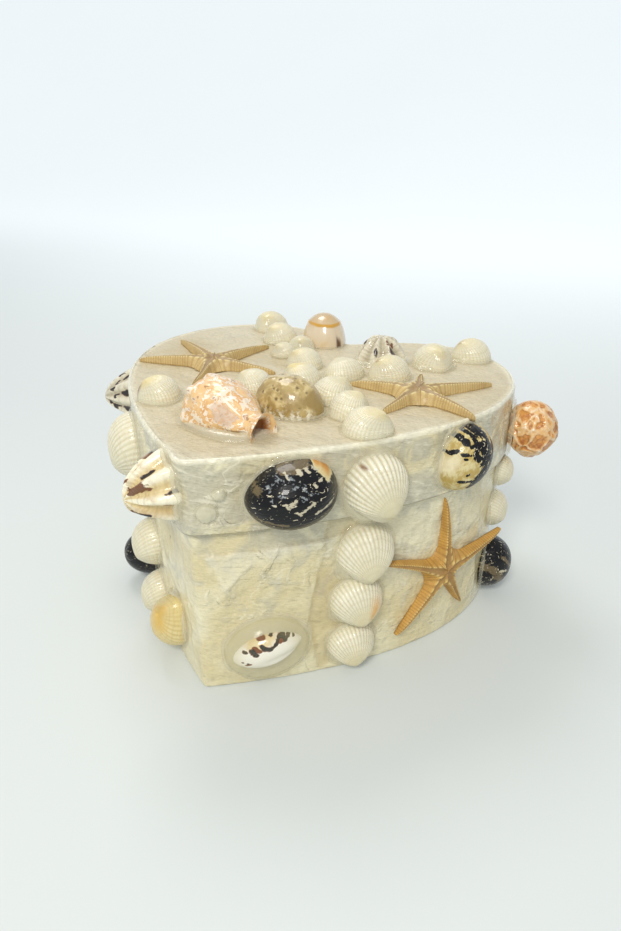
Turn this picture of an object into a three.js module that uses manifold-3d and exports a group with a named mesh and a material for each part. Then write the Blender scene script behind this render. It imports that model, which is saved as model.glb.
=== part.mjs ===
// Shell box: a heart-shaped papier-mache trinket box with a lift-off lid, its lid and
// walls set with seashells and starfish. Millimetres, +Z up, the tip of the heart at -Y.
import * as THREE from 'three';
import { mergeVertices } from 'three/addons/utils/BufferGeometryUtils.js';
import Module from 'manifold-3d';

const { PI, abs, cos, exp, hypot, max, min, sin } = Math;

// The heart. CAVITY is the inside of the body; every other wall stands off it.
const CAVITY = {
  tip: [0, -65],
  flank: [[25, -49.5], [70, -13]],
  widest: [70, 25],
  crown: [36, 65],
  valley: [[18, 65], [8, 50]],
  notch: [0, 50],
};
const ROUND = 0.5523;
const BODY_WALL = 2.5;
const FLOOR = 2.5;
const SIDE_PLAY = 0.5;
const SKIRT = 2;
const LID_TOP = 2.5;
const GAP = 0.3;
const HEIGHT = 87;
const LID_DEPTH = 25;
const BODY_OUT = BODY_WALL;
const LID_IN = BODY_OUT + SIDE_PLAY;
const LID_OUT = LID_IN + SKIRT;
const LID_FOOT = HEIGHT - LID_DEPTH;
const CEILING = HEIGHT - LID_TOP;
const BODY_RIM = CEILING - GAP;
const EDGE = 2;
const FOOT_EDGE = 0.8;

// How a shell sits: it sinks into the wall before it is cut back to the gap.
const SINK = 1.6;
const NEIGHBOUR_GROWTH = 1.05;

// Colour, roughness of each finish.
const FINISH = {
  pearl: [0xdccfb2, 0.35],
  ivory: [0xebe6cd, 0.4],
  straw: [0xd9c489, 0.4],
  tan: [0xbea569, 0.35],
  golden: [0xd6b270, 0.6],
  peach: [0xe8b880, 0.35],
  rosy: [0xcdb193, 0.3],
  black: [0x24211f, 0.2],
  speckled: [0xd9d3c2, 0.35],
  blotched: [0xe2d2a2, 0.3],
  resin: [0xcfc9a0, 0.08],
};

const wasm = await Module();
wasm.setup();

function material(finish) {
  const [color, roughness] = FINISH[finish];
  const clear = finish === 'resin';
  return new THREE.MeshStandardMaterial({
    color, roughness, metalness: 0, transparent: clear, opacity: clear ? 0.45 : 1,
  });
}

// ---- solids ----------------------------------------------------------------

function geometryOf(points, faces) {
  const geometry = new THREE.BufferGeometry();
  geometry.setAttribute('position', new THREE.Float32BufferAttribute(points.flat(), 3));
  geometry.setIndex(faces.flat());
  return geometry;
}

function solidOf(geometry) {
  const bare = geometry.clone();
  bare.deleteAttribute('normal');
  bare.deleteAttribute('uv');
  const merged = mergeVertices(bare, 1e-4);
  return new wasm.Manifold(new wasm.Mesh({
    numProp: 3,
    vertProperties: new Float32Array(merged.attributes.position.array),
    triVerts: new Uint32Array(merged.index.array),
  }));
}

function geometryFrom(solid) {
  const mesh = solid.getMesh();
  const geometry = new THREE.BufferGeometry();
  geometry.setAttribute('position', new THREE.BufferAttribute(mesh.vertProperties, 3));
  geometry.setIndex(new THREE.BufferAttribute(mesh.triVerts, 1));
  return geometry;
}

function cut(geometry, ...tools) {
  const rest = tools.reduce((solid, tool) => solid.subtract(solidOf(tool)), solidOf(geometry));
  return geometryFrom(rest);
}

// ---- the heart -------------------------------------------------------------

function heartCurves() {
  const at = ([x, y]) => new THREE.Vector2(x, y);
  const { tip, flank, widest, crown, valley, notch } = CAVITY;
  const shoulder = [widest[0], widest[1] + ROUND * (crown[1] - widest[1])];
  const brow = [crown[0] + ROUND * (widest[0] - crown[0]), crown[1]];
  return [
    [new THREE.CubicBezierCurve(at(tip), at(flank[0]), at(flank[1]), at(widest)), 12],
    [new THREE.CubicBezierCurve(at(widest), at(shoulder), at(brow), at(crown)), 7],
    [new THREE.CubicBezierCurve(at(crown), at(valley[0]), at(valley[1]), at(notch)), 8],
  ];
}

// Points of the right half with their outward normals, from the tip to the notch.
function halfHeart(refine = 1) {
  const points = [];
  for (const [curve, steps] of heartCurves()) {
    const count = steps * refine;
    for (let i = points.length ? 1 : 0; i <= count; i += 1) {
      const tangent = curve.getTangent(i / count);
      points.push({ at: curve.getPoint(i / count), out: new THREE.Vector2(tangent.y, -tangent.x) });
    }
  }
  points.at(-1).out.set(0, 1);
  return points;
}

// The heart standing `offset` outside the cavity; its tip is an arc of that radius.
function heart(offset, refine = 1) {
  const half = halfHeart(refine);
  const tip = half[0];
  const start = -PI / 2;
  const end = tip.out.angle() - 2 * PI;
  const arc = offset > 0 ? [0, 1, 2].map((i) => start + ((end - start) * i) / 3) : [];
  const right = arc.map((a) => new THREE.Vector2(cos(a), sin(a)).multiplyScalar(offset).add(tip.at));
  half.forEach(({ at, out }) => right.push(out.clone().multiplyScalar(offset).add(at)));
  const left = right.slice(1, -1).reverse().map((p) => new THREE.Vector2(-p.x, p.y));
  return [...right, ...left];
}

// A closed solid through heart-shaped rings, each [offset, z], from the bottom up.
function loft(rings) {
  const outlines = rings.map(([offset]) => heart(offset));
  const count = outlines[0].length;
  const points = outlines.flatMap((ring, k) => ring.map((p) => [p.x, p.y, rings[k][1]]));
  const faces = [];
  for (let k = 0; k + 1 < rings.length; k += 1) {
    for (let i = 0; i < count; i += 1) {
      const a = k * count + i;
      const b = k * count + ((i + 1) % count);
      faces.push([a, b, b + count], [a, b + count, a + count]);
    }
  }
  const top = (rings.length - 1) * count;
  THREE.ShapeUtils.triangulateShape(outlines[0], []).forEach(([a, b, c]) => faces.push([a, c, b]));
  THREE.ShapeUtils.triangulateShape(outlines.at(-1), [])
    .forEach(([a, b, c]) => faces.push([top + a, top + b, top + c]));
  return geometryOf(points, faces);
}

function boxBody() {
  const outside = loft([
    [BODY_OUT - FOOT_EDGE, 0],
    [BODY_OUT, FOOT_EDGE],
    [BODY_OUT, BODY_RIM],
  ]);
  return cut(outside, loft([[0, FLOOR], [0, HEIGHT]]));
}

function lid() {
  const outside = loft([
    [LID_OUT - FOOT_EDGE, LID_FOOT],
    [LID_OUT, LID_FOOT + FOOT_EDGE],
    [LID_OUT, HEIGHT - EDGE],
    [LID_OUT - 0.3 * EDGE, HEIGHT - 0.3 * EDGE],
    [LID_OUT - EDGE, HEIGHT],
  ]);
  return cut(outside, loft([[LID_IN, LID_FOOT - 1], [LID_IN, CEILING]]));
}

// The closed box grown by the gap: shells are cut back to it.
function envelope() {
  return loft([
    [BODY_OUT + GAP, -SINK],
    [BODY_OUT + GAP, LID_FOOT - GAP],
    [LID_OUT + GAP, LID_FOOT - GAP - 0.01],
    [LID_OUT + GAP, HEIGHT + GAP],
  ]);
}

// ---- places on the box -----------------------------------------------------

// A place on the lid's top: local z points up, `turn` degrees from +Y.
function onTop(x, y, turn) {
  const frame = new THREE.Matrix4().makeRotationZ(THREE.MathUtils.degToRad(turn));
  return frame.setPosition(x, y, HEIGHT + GAP);
}

// The outline's point and tangent `along` millimetres from the tip, + on the +X side.
function walk(offset, along) {
  const right = heart(offset, 4).filter((p) => p.x >= 0);
  let left = abs(along);
  let i = 0;
  while (i + 2 < right.length && left > right[i].distanceTo(right[i + 1])) {
    left -= right[i].distanceTo(right[i + 1]);
    i += 1;
  }
  const tangent = right[i + 1].clone().sub(right[i]).normalize();
  const at = right[i].clone().addScaledVector(tangent, left);
  return along < 0 ? { at: at.set(-at.x, at.y), tangent: tangent.set(tangent.x, -tangent.y) } : { at, tangent };
}

// A place on a wall: local z points out, `turn` degrees from straight up.
function onWall(offset, along, z, turn) {
  const { at, tangent } = walk(offset, along);
  const across = new THREE.Vector3(tangent.x, tangent.y, 0);
  const up = new THREE.Vector3(0, 0, 1);
  const out = across.clone().cross(up);
  const frame = new THREE.Matrix4().makeBasis(across, up, out);
  frame.multiply(new THREE.Matrix4().makeRotationZ(THREE.MathUtils.degToRad(turn)));
  return frame.setPosition(at.x, at.y, z);
}

// ---- shell forms -----------------------------------------------------------

// A closed dome: straight spokes from `pole` to `rim(angle)`, raised by `rise(x, y, s, angle)`.
function dome({ around, levels, rim, pole = [0, 0], rise, sink }) {
  const points = [];
  const faces = [];
  const ring = (s, height) => {
    for (let i = 0; i < around; i += 1) {
      const angle = (2 * PI * i) / around;
      const [rx, ry] = rim(angle);
      const x = pole[0] + (rx - pole[0]) * s;
      const y = pole[1] + (ry - pole[1]) * s;
      points.push([x, y, height ?? rise(x, y, s, angle)]);
    }
  };
  ring(1, -sink);
  levels.forEach((s) => ring(s));
  points.push([...pole, rise(...pole, 0, 0)], [...pole, -sink]);
  const peak = points.length - 2;
  const top = levels.length * around;
  for (let i = 0; i < around; i += 1) {
    const j = (i + 1) % around;
    for (let k = 0; k < levels.length; k += 1) {
      const [a, b, c, d] = [k * around + i, k * around + j, (k + 1) * around + j, (k + 1) * around + i];
      faces.push([a, b, c], [a, c, d]);
    }
    faces.push([top + i, top + j, peak], [j, i, peak + 1]);
  }
  return geometryOf(points, faces);
}

// A closed spindle about local y: radius along it from `profile`, shaped by `swell(angle, t)`.
function spindle({ around, steps, profile, lift, swell }) {
  const spine = new THREE.SplineCurve(profile.map(([r, y]) => new THREE.Vector2(r, y)));
  const stations = spine.getPoints(steps);
  const points = [];
  const faces = [];
  stations.slice(1, -1).forEach((p, k) => {
    for (let i = 0; i < around; i += 1) {
      const angle = (2 * PI * i) / around;
      const radius = max(p.x, 0.2) * swell(angle, (k + 1) / steps);
      points.push([radius * cos(angle), p.y, lift + radius * sin(angle)]);
    }
  });
  points.push([0, stations[0].y, lift], [0, stations.at(-1).y, lift]);
  const first = points.length - 2;
  const last = (steps - 2) * around;
  for (let i = 0; i < around; i += 1) {
    const j = (i + 1) % around;
    for (let k = 0; k + 2 < steps; k += 1) {
      const [a, b, c, d] = [k * around + i, (k + 1) * around + i, (k + 1) * around + j, k * around + j];
      faces.push([a, b, c], [a, c, d]);
    }
    faces.push([first, i, j], [last + j, last + i, first + 1]);
  }
  return geometryOf(points, faces);
}

const oval = (width, length) => (angle) => [(width / 2) * cos(angle), (length / 2) * sin(angle)];
const bulge = (r, fullness) => max(0, 1 - r ** 2.2) ** fullness;
const reach = (x, y, width, length) => min(1, hypot((2 * x) / width, (2 * y) / length));

// Cockle valve: ribs fan out from the umbo at -y to a scalloped margin.
function cockle({ width, length, height, sink }) {
  const ribs = 9;
  const umbo = [0, -0.36 * length];
  const rim = (angle) => {
    const flare = 1 + 0.025 * cos(ribs * angle) + 0.05 * sin(angle);
    const narrow = 1 - 0.16 * max(0, -sin(angle)) ** 1.5;
    return [(width / 2) * cos(angle) * narrow * flare, (length / 2) * sin(angle) * (2 - flare)];
  };
  const rise = (x, y, s, angle) => {
    const rib = 0.03 * cos(ribs * angle) * s * (1 - s ** 6);
    const beak = 0.1 * exp(-(hypot(x - umbo[0], y - umbo[1]) ** 2) / (0.03 * length ** 2));
    return s >= 1 ? 0 : height * (bulge(reach(x, y, width, length), 0.55) + beak + rib);
  };
  return dome({ around: 2 * ribs, levels: [1, 0.85, 0.5], rim, pole: umbo, rise, sink });
}

// Limpet: a cone with strong ribs that stick out as points.
function limpet({ width, length, height, sink, blunt = 1, ribs = 9, spikes = 0.1 }) {
  const pole = [0, -0.08 * length];
  const wave = (angle) => cos(ribs * angle);
  const rim = (angle) => oval(width, length)(angle).map((v) => v * (1 - spikes * (1 - wave(angle)) * 0.5));
  const rise = (x, y, s, angle) => height * ((1 - s ** blunt) ** 0.85 + 0.035 * wave(angle) * s * (1 - s) * 4);
  return dome({ around: 2 * ribs, levels: [1, 0.8, 0.5, 0.2], rim, pole, rise, sink });
}

// Nerite: a smooth globe of a last whorl with a low spire to one side at -y.
function nerite({ width, length, height, sink, lumps = 0 }) {
  const spire = [0.12 * width, -0.3 * length];
  const rise = (x, y, s) => {
    const body = bulge(reach(x, y, width, length), 0.5);
    const knob = 0.07 * exp(-(hypot(x - spire[0], y - spire[1]) ** 2) / (0.012 * length ** 2));
    const lump = lumps * sin(0.8 * x + 1) * cos(0.7 * y);
    return s >= 1 ? 0 : height * (body + knob + lump * (1 - s));
  };
  const rim = (angle) => {
    const egg = 1 - 0.1 * sin(angle) * abs(sin(angle));
    return [(width / 2) * cos(angle) * egg, (length / 2) * sin(angle)];
  };
  return dome({ around: 16, levels: [1, 0.93, 0.76, 0.5, 0.24], rim, rise, sink });
}

// Ring cowry: an egg with a blunt callus and a notch at its -y end.
function cowry({ width, length, height, sink }) {
  const rise = (x, y, s) => {
    const band = 0.03 * exp(-((hypot(x / width, y / length) - 0.3) ** 2) / 0.002);
    return s >= 1 ? 0 : height * (bulge(reach(x, y, width, length), 0.5) + band);
  };
  const rim = (angle) => {
    const notch = 1 - 0.12 * exp(-((angle - 1.5 * PI) ** 2) / 0.03);
    return oval(width, length)(angle).map((v) => v * notch);
  };
  return dome({ around: 16, levels: [1, 0.93, 0.76, 0.5, 0.24], rim, rise, sink });
}

// Clear resin drop.
function lens({ width, length, height, sink }) {
  const rise = (x, y, s) => (s >= 1 ? 0 : height * (1 - s ** 2.4) ** 0.7);
  return dome({ around: 20, levels: [1, 0.94, 0.75, 0.45], rim: oval(width, length), rise, sink });
}

// Conch: a short stepped spire at -y, a knobbed shoulder, and a canal that flares at +y.
function conch({ width, length, height }) {
  const [r, l] = [width / 2, length];
  const profile = [
    [0, -0.5 * l], [0.22 * r, -0.46 * l], [0.36 * r, -0.4 * l], [0.62 * r, -0.35 * l],
    [0.96 * r, -0.24 * l], [r, -0.08 * l], [0.8 * r, 0.14 * l], [0.52 * r, 0.3 * l],
    [0.4 * r, 0.4 * l], [0.5 * r, 0.5 * l], [0, 0.5 * l],
  ];
  const swell = (angle, t) => {
    const knobs = 1 + 0.07 * cos(7 * angle) * exp(-((t - 0.4) ** 2) / 0.008);
    const lip = 0.22 * max(0, cos(angle - PI)) ** 2 * exp(-((t - 0.55) ** 2) / 0.05);
    return knobs + lip;
  };
  return spindle({ around: 14, steps: 15, profile, lift: height - r, swell });
}

// Drupe: a stubby knobbed whorl, standing on its mouth.
function drupe({ width, length, height }) {
  const [r, l] = [width / 2, length];
  const profile = [
    [0, -0.5 * l], [0.45 * r, -0.42 * l], [0.8 * r, -0.25 * l], [r, -0.02 * l],
    [0.86 * r, 0.24 * l], [0.5 * r, 0.42 * l], [0, 0.5 * l],
  ];
  const swell = (angle, t) => 1 + 0.08 * cos(6 * angle) * abs(sin(3 * PI * t)) ** 0.7;
  return spindle({ around: 18, steps: 13, profile, lift: height - r, swell });
}

// Starfish: tapering arms with upright margins and a slightly sunk top. Each arm is
// [direction in degrees, length]; the arms run counterclockwise.
function starfish({ arms, root, height, sink }) {
  const stations = [0.4, 0.75, 1];
  const rad = (deg) => THREE.MathUtils.degToRad(deg);
  const count = arms.length;
  const bisector = (k) => {
    const [a, b] = [arms[(k + count - 1) % count][0], arms[k % count][0]];
    return rad(a + ((b - a + 720) % 360) / 2);
  };
  const points = [];
  const faces = [];
  const add = (x, y, z) => points.push([x, y, z]) - 1;
  const web = arms.map((_, k) => {
    const [c, s] = [cos(bisector(k)), sin(bisector(k))];
    return {
      low: add(1.1 * root * c, 1.1 * root * s, -sink),
      edge: add(1.1 * root * c, 1.1 * root * s, 0),
      rim: add(0.85 * root * c, 0.85 * root * s, height),
    };
  });
  const crown = add(0, 0, 0.95 * height);
  const base = add(0, 0, -sink);
  const strip = (a, b) => faces.push(
    [a.lowR, b.lowR, b.edgeR], [a.lowR, b.edgeR, a.edgeR],
    [a.edgeR, b.edgeR, b.rimR], [a.edgeR, b.rimR, a.rimR],
    [a.rimR, b.rimR, b.mid], [a.rimR, b.mid, a.mid],
    [a.mid, b.mid, b.rimL], [a.mid, b.rimL, a.rimL],
    [a.rimL, b.rimL, b.edgeL], [a.rimL, b.edgeL, a.edgeL],
    [a.edgeL, b.edgeL, b.lowL], [a.edgeL, b.lowL, a.lowL],
    [a.lowL, b.lowL, b.lowR], [a.lowL, b.lowR, a.lowR],
  );
  arms.forEach(([direction, length], k) => {
    const [c, s] = [cos(rad(direction)), sin(rad(direction))];
    const place = (along, side, z) => add(along * c + side * s, along * s - side * c, z);
    const [right, left] = [web[k], web[(k + 1) % count]];
    let last = {
      lowR: right.low, edgeR: right.edge, rimR: right.rim,
      lowL: left.low, edgeL: left.edge, rimL: left.rim,
      mid: place(0.8 * root, 0, 0.85 * height),
    };
    faces.push([crown, right.rim, last.mid], [crown, last.mid, left.rim], [base, left.low, right.low]);
    for (const t of stations) {
      const half = 0.5 * root * (1 - 0.68 * t);
      const top = height * (1 - 0.45 * t);
      const along = t * length;
      const next = {
        lowR: place(along, half, -sink), edgeR: place(along, half, 0),
        rimR: place(along, 0.72 * half, top), mid: place(along, 0, 0.85 * top),
        rimL: place(along, -0.72 * half, top), edgeL: place(along, -half, 0),
        lowL: place(along, -half, -sink),
      };
      strip(last, next);
      last = next;
    }
    faces.push(
      [last.lowR, last.lowL, last.edgeL], [last.lowR, last.edgeL, last.edgeR],
      [last.edgeR, last.edgeL, last.rimL], [last.edgeR, last.rimL, last.rimR],
      [last.rimR, last.rimL, last.mid],
    );
  });
  return geometryOf(points, faces);
}

const stump = (size) => limpet({ ...size, blunt: 2.2 });

const FORMS = { cockle, limpet, stump, nerite, cowry, lens, conch, drupe };

// ---- the shells ------------------------------------------------------------

// name, form, finish, x, y, turn, width, length, height
const TOP_SHELLS = [
  ['conch', 'conch', 'peach', -3, -40, -110, 21, 37, 12.5],
  ['tan_nerite', 'nerite', 'tan', 10.5, -22, -100, 19, 25, 11],
  ['cockle_corner', 'cockle', 'ivory', -34, -32, -50, 15, 15, 7.5],
  ['cockle_by_conch', 'cockle', 'ivory', -9.5, -10, -70, 15, 14, 6.5],
  ['cockle_rear_end', 'cockle', 'ivory', -41, 62, 0, 16, 15, 7.5],
  ['cockle_rear', 'cockle', 'ivory', -29, 48, -30, 15, 15, 7],
  ['cockle_small', 'cockle', 'ivory', -18, 30, -40, 10, 10, 4.5],
  ['cockle_small_rear', 'cockle', 'ivory', -15, 40, 20, 11, 11, 5],
  ['cockle_mid_rear', 'cockle', 'ivory', -4, 20.5, -60, 14, 14, 6.5],
  ['cockle_mid', 'cockle', 'straw', 3, 3, -90, 14, 15, 6.5],
  ['cockle_cross', 'cockle', 'ivory', 14, 16.5, -120, 16, 14, 6],
  ['cockle_mid_front', 'cockle', 'ivory', 19.5, -7, 140, 15, 15, 7],
  ['cockle_front', 'cockle', 'ivory', 30, -17.5, 145, 14, 14, 7],
  ['cockle_front_end', 'cockle', 'ivory', 40, -28, 100, 15, 16, 7],
  ['ring_cowry', 'cowry', 'rosy', -10.5, 53.5, -140, 17, 21, 10.5],
  ['mottled_limpet', 'stump', 'speckled', 21, 38.5, 0, 21, 21, 10],
  ['cockle_arm', 'cockle', 'ivory', 30, 22.5, -45, 15, 16, 7.5],
  ['cockle_arm_mid', 'cockle', 'ivory', 41, 42, 40, 16, 17, 8],
  ['cockle_arm_end', 'cockle', 'ivory', 52.5, 57, -55, 16, 16, 7.5],
];

// name, form, finish, wall, along, z, turn, width, length, height
const WALL_SHELLS = [
  ['black_nerite', 'nerite', 'black', 'lid', 31.5, 74.5, 98, 21, 28, 12.5],
  ['cockle_lid_front', 'cockle', 'ivory', 'lid', 58.5, 71.5, 12, 21, 24, 8.5],
  ['tan_black_nerite', 'nerite', 'black', 'lid', 91.5, 74.5, 145, 19, 23, 9.5],
  ['drupe', 'drupe', 'peach', 'lid', 134, 70.5, 0, 19, 22, 17],
  ['star_limpet', 'limpet', 'blotched', 'lid', -11.5, 74.7, 0, 22.5, 23.5, 13],
  ['cockle_lid_left', 'cockle', 'ivory', 'lid', -55, 69.5, 0, 21, 25, 9.5],
  ['dotted_limpet', 'limpet', 'speckled', 'lid', -97, 73.8, 0, 22, 22, 13.5],
  ['cockle_front_upper', 'cockle', 'ivory', 'body', 55, 46.5, 2, 20, 22, 8],
  ['cockle_front_middle', 'cockle', 'ivory', 'body', 52.5, 28, 8, 18.5, 20, 7.5],
  ['cockle_front_lower', 'cockle', 'ivory', 'body', 51, 10, 2, 17, 17.5, 7],
  ['resin_drop', 'lens', 'resin', 'body', 21.5, 15, -76, 25, 29, 8],
  ['cockle_left_upper', 'cockle', 'ivory', 'body', -47, 52.5, 0, 17, 17, 8],
  ['cockle_left_middle', 'cockle', 'ivory', 'body', -46, 33, 0, 17.5, 19, 9],
  ['cockle_left_lower', 'cockle', 'ivory', 'body', -42, 12.5, 0, 16, 18, 8.5],
  ['cockle_straw', 'cockle', 'straw', 'body', -22, 14.5, 150, 18, 25, 9.5],
  ['black_nerite_left', 'nerite', 'black', 'body', -72, 12, 100, 19, 20, 12.5],
  ['black_nerite_right', 'nerite', 'black', 'body', 126, 13.5, 15, 20, 23, 10.5],
  ['cockle_right_upper', 'cockle', 'ivory', 'body', 127, 54, 0, 13, 13, 6],
  ['cockle_right_lower', 'cockle', 'ivory', 'body', 124, 39, 0, 14, 15, 6],
  ['cockle_lid_back_right', 'cockle', 'ivory', 'lid', 168, 73, 0, 18, 19, 8],
  ['black_nerite_back', 'nerite', 'black', 'lid', 200, 74, 80, 18, 22, 10],
  ['cockle_lid_back_left', 'cockle', 'ivory', 'lid', -165, 73, 0, 18, 19, 8],
  ['limpet_back', 'limpet', 'blotched', 'lid', -200, 74, 0, 19, 19, 9],
  ['cockle_back_right', 'cockle', 'ivory', 'body', 172, 34, 0, 18, 19, 7.5],
  ['cockle_back_left', 'cockle', 'ivory', 'body', -160, 34, 0, 18, 19, 7.5],
];

// The starfish: place, and arms as [direction, length].
const STARFISH = [
  ['starfish_left', onTop(-35.5, 4, 0), 7, [[5, 26], [76, 32], [144, 38], [192, 31], [284, 24]]],
  ['starfish_right', onTop(46, 5, 0), 7, [[48, 31], [102, 22], [175, 26], [252, 20], [334, 25]]],
  ['starfish_front', onWall(BODY_OUT, 87.5, 30, 0), 7.5, [[10, 31], [93, 29], [156, 32], [227, 29], [301, 24]]],
];

function topPieces() {
  return TOP_SHELLS.map(([name, form, finish, x, y, turn, width, length, height]) => ({
    name, finish, frame: onTop(x, y, turn), shape: FORMS[form]({ width, length, height, sink: 0 }),
  }));
}

function wallPieces() {
  return WALL_SHELLS.map(([name, form, finish, wall, along, z, turn, width, length, height]) => ({
    name,
    finish,
    frame: onWall(wall === 'lid' ? LID_OUT : BODY_OUT, along, z, turn),
    shape: FORMS[form]({ width, length, height, sink: SINK }),
  }));
}

function starPieces() {
  return STARFISH.map(([name, frame, root, arms]) => ({
    name, finish: 'golden', frame, shape: starfish({ arms, root, height: 4.5, sink: name.endsWith('front') ? 1 : 0 }),
  }));
}

// The same shape, a little larger about its middle and seen from another piece's frame.
function grown(piece, frame) {
  const shape = piece.shape.clone();
  shape.computeBoundingBox();
  const centre = shape.boundingBox.getCenter(new THREE.Vector3());
  shape.translate(-centre.x, -centre.y, -centre.z);
  shape.scale(NEIGHBOUR_GROWTH, NEIGHBOUR_GROWTH, NEIGHBOUR_GROWTH);
  shape.translate(centre.x, centre.y, centre.z);
  return shape.applyMatrix4(frame.clone().invert().multiply(piece.frame));
}

function boundsOf(piece) {
  const shape = piece.shape.clone().applyMatrix4(piece.frame);
  shape.computeBoundingBox();
  return shape.boundingBox.expandByScalar(1);
}

// Each piece is cut back from the box and from the pieces set before it.
function fitted(pieces) {
  const done = [];
  for (const piece of pieces) {
    const inverse = piece.frame.clone().invert();
    const near = done.filter((other) => boundsOf(other).intersectsBox(boundsOf(piece)));
    piece.shape = cut(
      piece.shape,
      envelope().applyMatrix4(inverse),
      ...near.map((other) => grown(other, piece.frame)),
    );
    done.push(piece);
  }
  return done;
}

function named(name, geometry, finish) {
  const mesh = new THREE.Mesh(geometry, material(finish));
  mesh.name = name;
  return mesh;
}

const box = new THREE.Group();
box.add(named('box_body', boxBody(), 'pearl'), named('lid', lid(), 'pearl'));
for (const piece of fitted([...topPieces(), ...wallPieces(), ...starPieces()])) {
  const mesh = named(piece.name, piece.shape, piece.finish);
  mesh.applyMatrix4(piece.frame);
  box.add(mesh);
}

export default box;
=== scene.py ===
"""Shell box: a heart-shaped papier-mache trinket box, its lift-off lid and walls set with shells.

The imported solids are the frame. Every piece made here stands for one of them, at its place and
size, with the fine form and the finish of the real thing. Shapes are worked out in millimetres in
a piece's own frame, and its place is baked into its mesh in metres.
"""
from __future__ import annotations

import logging
from bisect import bisect_right
from dataclasses import dataclass, field
from enum import Enum
from math import atan2, cos, exp, hypot, pi, radians, sin, tanh, tau
from typing import Callable, Sequence, Union

import bmesh
import bpy
from mathutils import Matrix, Vector, noise
from mathutils.geometry import interpolate_bezier


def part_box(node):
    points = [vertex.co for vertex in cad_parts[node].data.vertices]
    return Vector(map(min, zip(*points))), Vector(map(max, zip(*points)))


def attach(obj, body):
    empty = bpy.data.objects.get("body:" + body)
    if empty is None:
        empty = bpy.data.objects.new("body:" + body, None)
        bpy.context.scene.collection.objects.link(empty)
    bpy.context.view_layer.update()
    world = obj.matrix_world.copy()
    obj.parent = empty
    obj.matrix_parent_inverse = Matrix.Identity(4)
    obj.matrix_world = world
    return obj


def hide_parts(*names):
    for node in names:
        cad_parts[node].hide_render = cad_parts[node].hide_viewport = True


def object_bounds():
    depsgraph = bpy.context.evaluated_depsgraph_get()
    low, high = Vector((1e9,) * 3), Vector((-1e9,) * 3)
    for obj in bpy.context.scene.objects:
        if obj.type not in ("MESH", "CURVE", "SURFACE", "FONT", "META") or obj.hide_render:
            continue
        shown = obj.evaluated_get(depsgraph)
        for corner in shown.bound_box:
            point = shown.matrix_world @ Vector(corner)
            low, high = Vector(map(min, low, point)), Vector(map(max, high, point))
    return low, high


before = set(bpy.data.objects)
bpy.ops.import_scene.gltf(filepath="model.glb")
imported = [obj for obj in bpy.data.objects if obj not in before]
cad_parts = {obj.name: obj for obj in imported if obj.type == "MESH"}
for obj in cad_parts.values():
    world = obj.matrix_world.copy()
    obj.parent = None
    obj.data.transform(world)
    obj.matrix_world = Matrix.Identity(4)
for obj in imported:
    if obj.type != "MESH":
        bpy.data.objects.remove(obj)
CAD_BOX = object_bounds()
LOG = logging.getLogger("shell_box")

MM = 0.001
BODY_LOW, BODY_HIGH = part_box("box_body")
LID_LOW, LID_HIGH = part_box("lid")

Point = tuple[float, float]
Tone = tuple[float, float, float, float]


class Slot(Enum):
    """The record's material slots."""

    PEARL = "pearl_paper"
    IVORY = "ivory_shell"
    STRAW = "straw_shell"
    TAN = "tan_shell"
    PEACH = "peach_shell"
    ROSY = "rosy_shell"
    BLACK = "black_shell"
    SPECKLED = "speckled_shell"
    BLOTCHED = "blotched_shell"
    STARFISH = "starfish"
    RESIN = "clear_resin"


# ---- shader tools ----------------------------------------------------------------------------


def tone(red: int, green: int, blue: int) -> Tone:
    """Turns a colour as it looks, 0 to 255, into the linear values that shaders take.

    Args:
        red: Red part.
        green: Green part.
        blue: Blue part.

    Returns:
        Linear red, green, blue and a full alpha.
    """
    parts = [part / 255 for part in (red, green, blue)]
    linear = [((part + 0.055) / 1.055) ** 2.4 if part > 0.04 else part / 12.92 for part in parts]
    return (*linear, 1.0)


class Value:
    """A shader value; arithmetic on it adds Math nodes."""

    def __init__(self, paint: Paint, socket: bpy.types.NodeSocket) -> None:
        """Wraps an output socket of a paint's node tree."""
        self.paint = paint
        self.socket = socket

    def _math(self, operation: str, *operands: Operand) -> Value:
        """Adds one Math node of that operation and returns its result."""
        return self.paint.node("Math", {"operation": operation}, dict(enumerate(operands)))

    def __add__(self, other: Operand) -> Value:
        """Adds."""
        return self._math("ADD", self, other)

    def __sub__(self, other: Operand) -> Value:
        """Subtracts the other."""
        return self._math("SUBTRACT", self, other)

    def __rsub__(self, other: Operand) -> Value:
        """Is subtracted from the other."""
        return self._math("SUBTRACT", other, self)

    def __mul__(self, other: Operand) -> Value:
        """Multiplies."""
        return self._math("MULTIPLY", self, other)

    def __truediv__(self, other: Operand) -> Value:
        """Divides by the other."""
        return self._math("DIVIDE", self, other)

    def __pow__(self, other: Operand) -> Value:
        """Raises to a power."""
        return self._math("POWER", self, other)

    __radd__ = __add__
    __rmul__ = __mul__

    def magnitude(self) -> Value:
        """Drops the sign."""
        return self._math("ABSOLUTE", self)

    def wave(self) -> Value:
        """Takes the sine."""
        return self._math("SINE", self)

    def least(self, other: Operand) -> Value:
        """Takes the smaller of the two."""
        return self._math("MINIMUM", self, other)

    def most(self, other: Operand) -> Value:
        """Takes the larger of the two."""
        return self._math("MAXIMUM", self, other)

    def step(self, low: float, high: float) -> Value:
        """Eases from 0 at `low` to 1 at `high`, or down if `low` is the larger.

        Args:
            low: Where the result is 0.
            high: Where the result is 1.

        Returns:
            The eased value, held between 0 and 1.
        """
        ends = {"From Min": low, "From Max": high}
        return self.paint.node("MapRange", {"interpolation_type": "SMOOTHSTEP"}, {"Value": self, **ends})


Operand = Union[Value, float]


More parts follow.
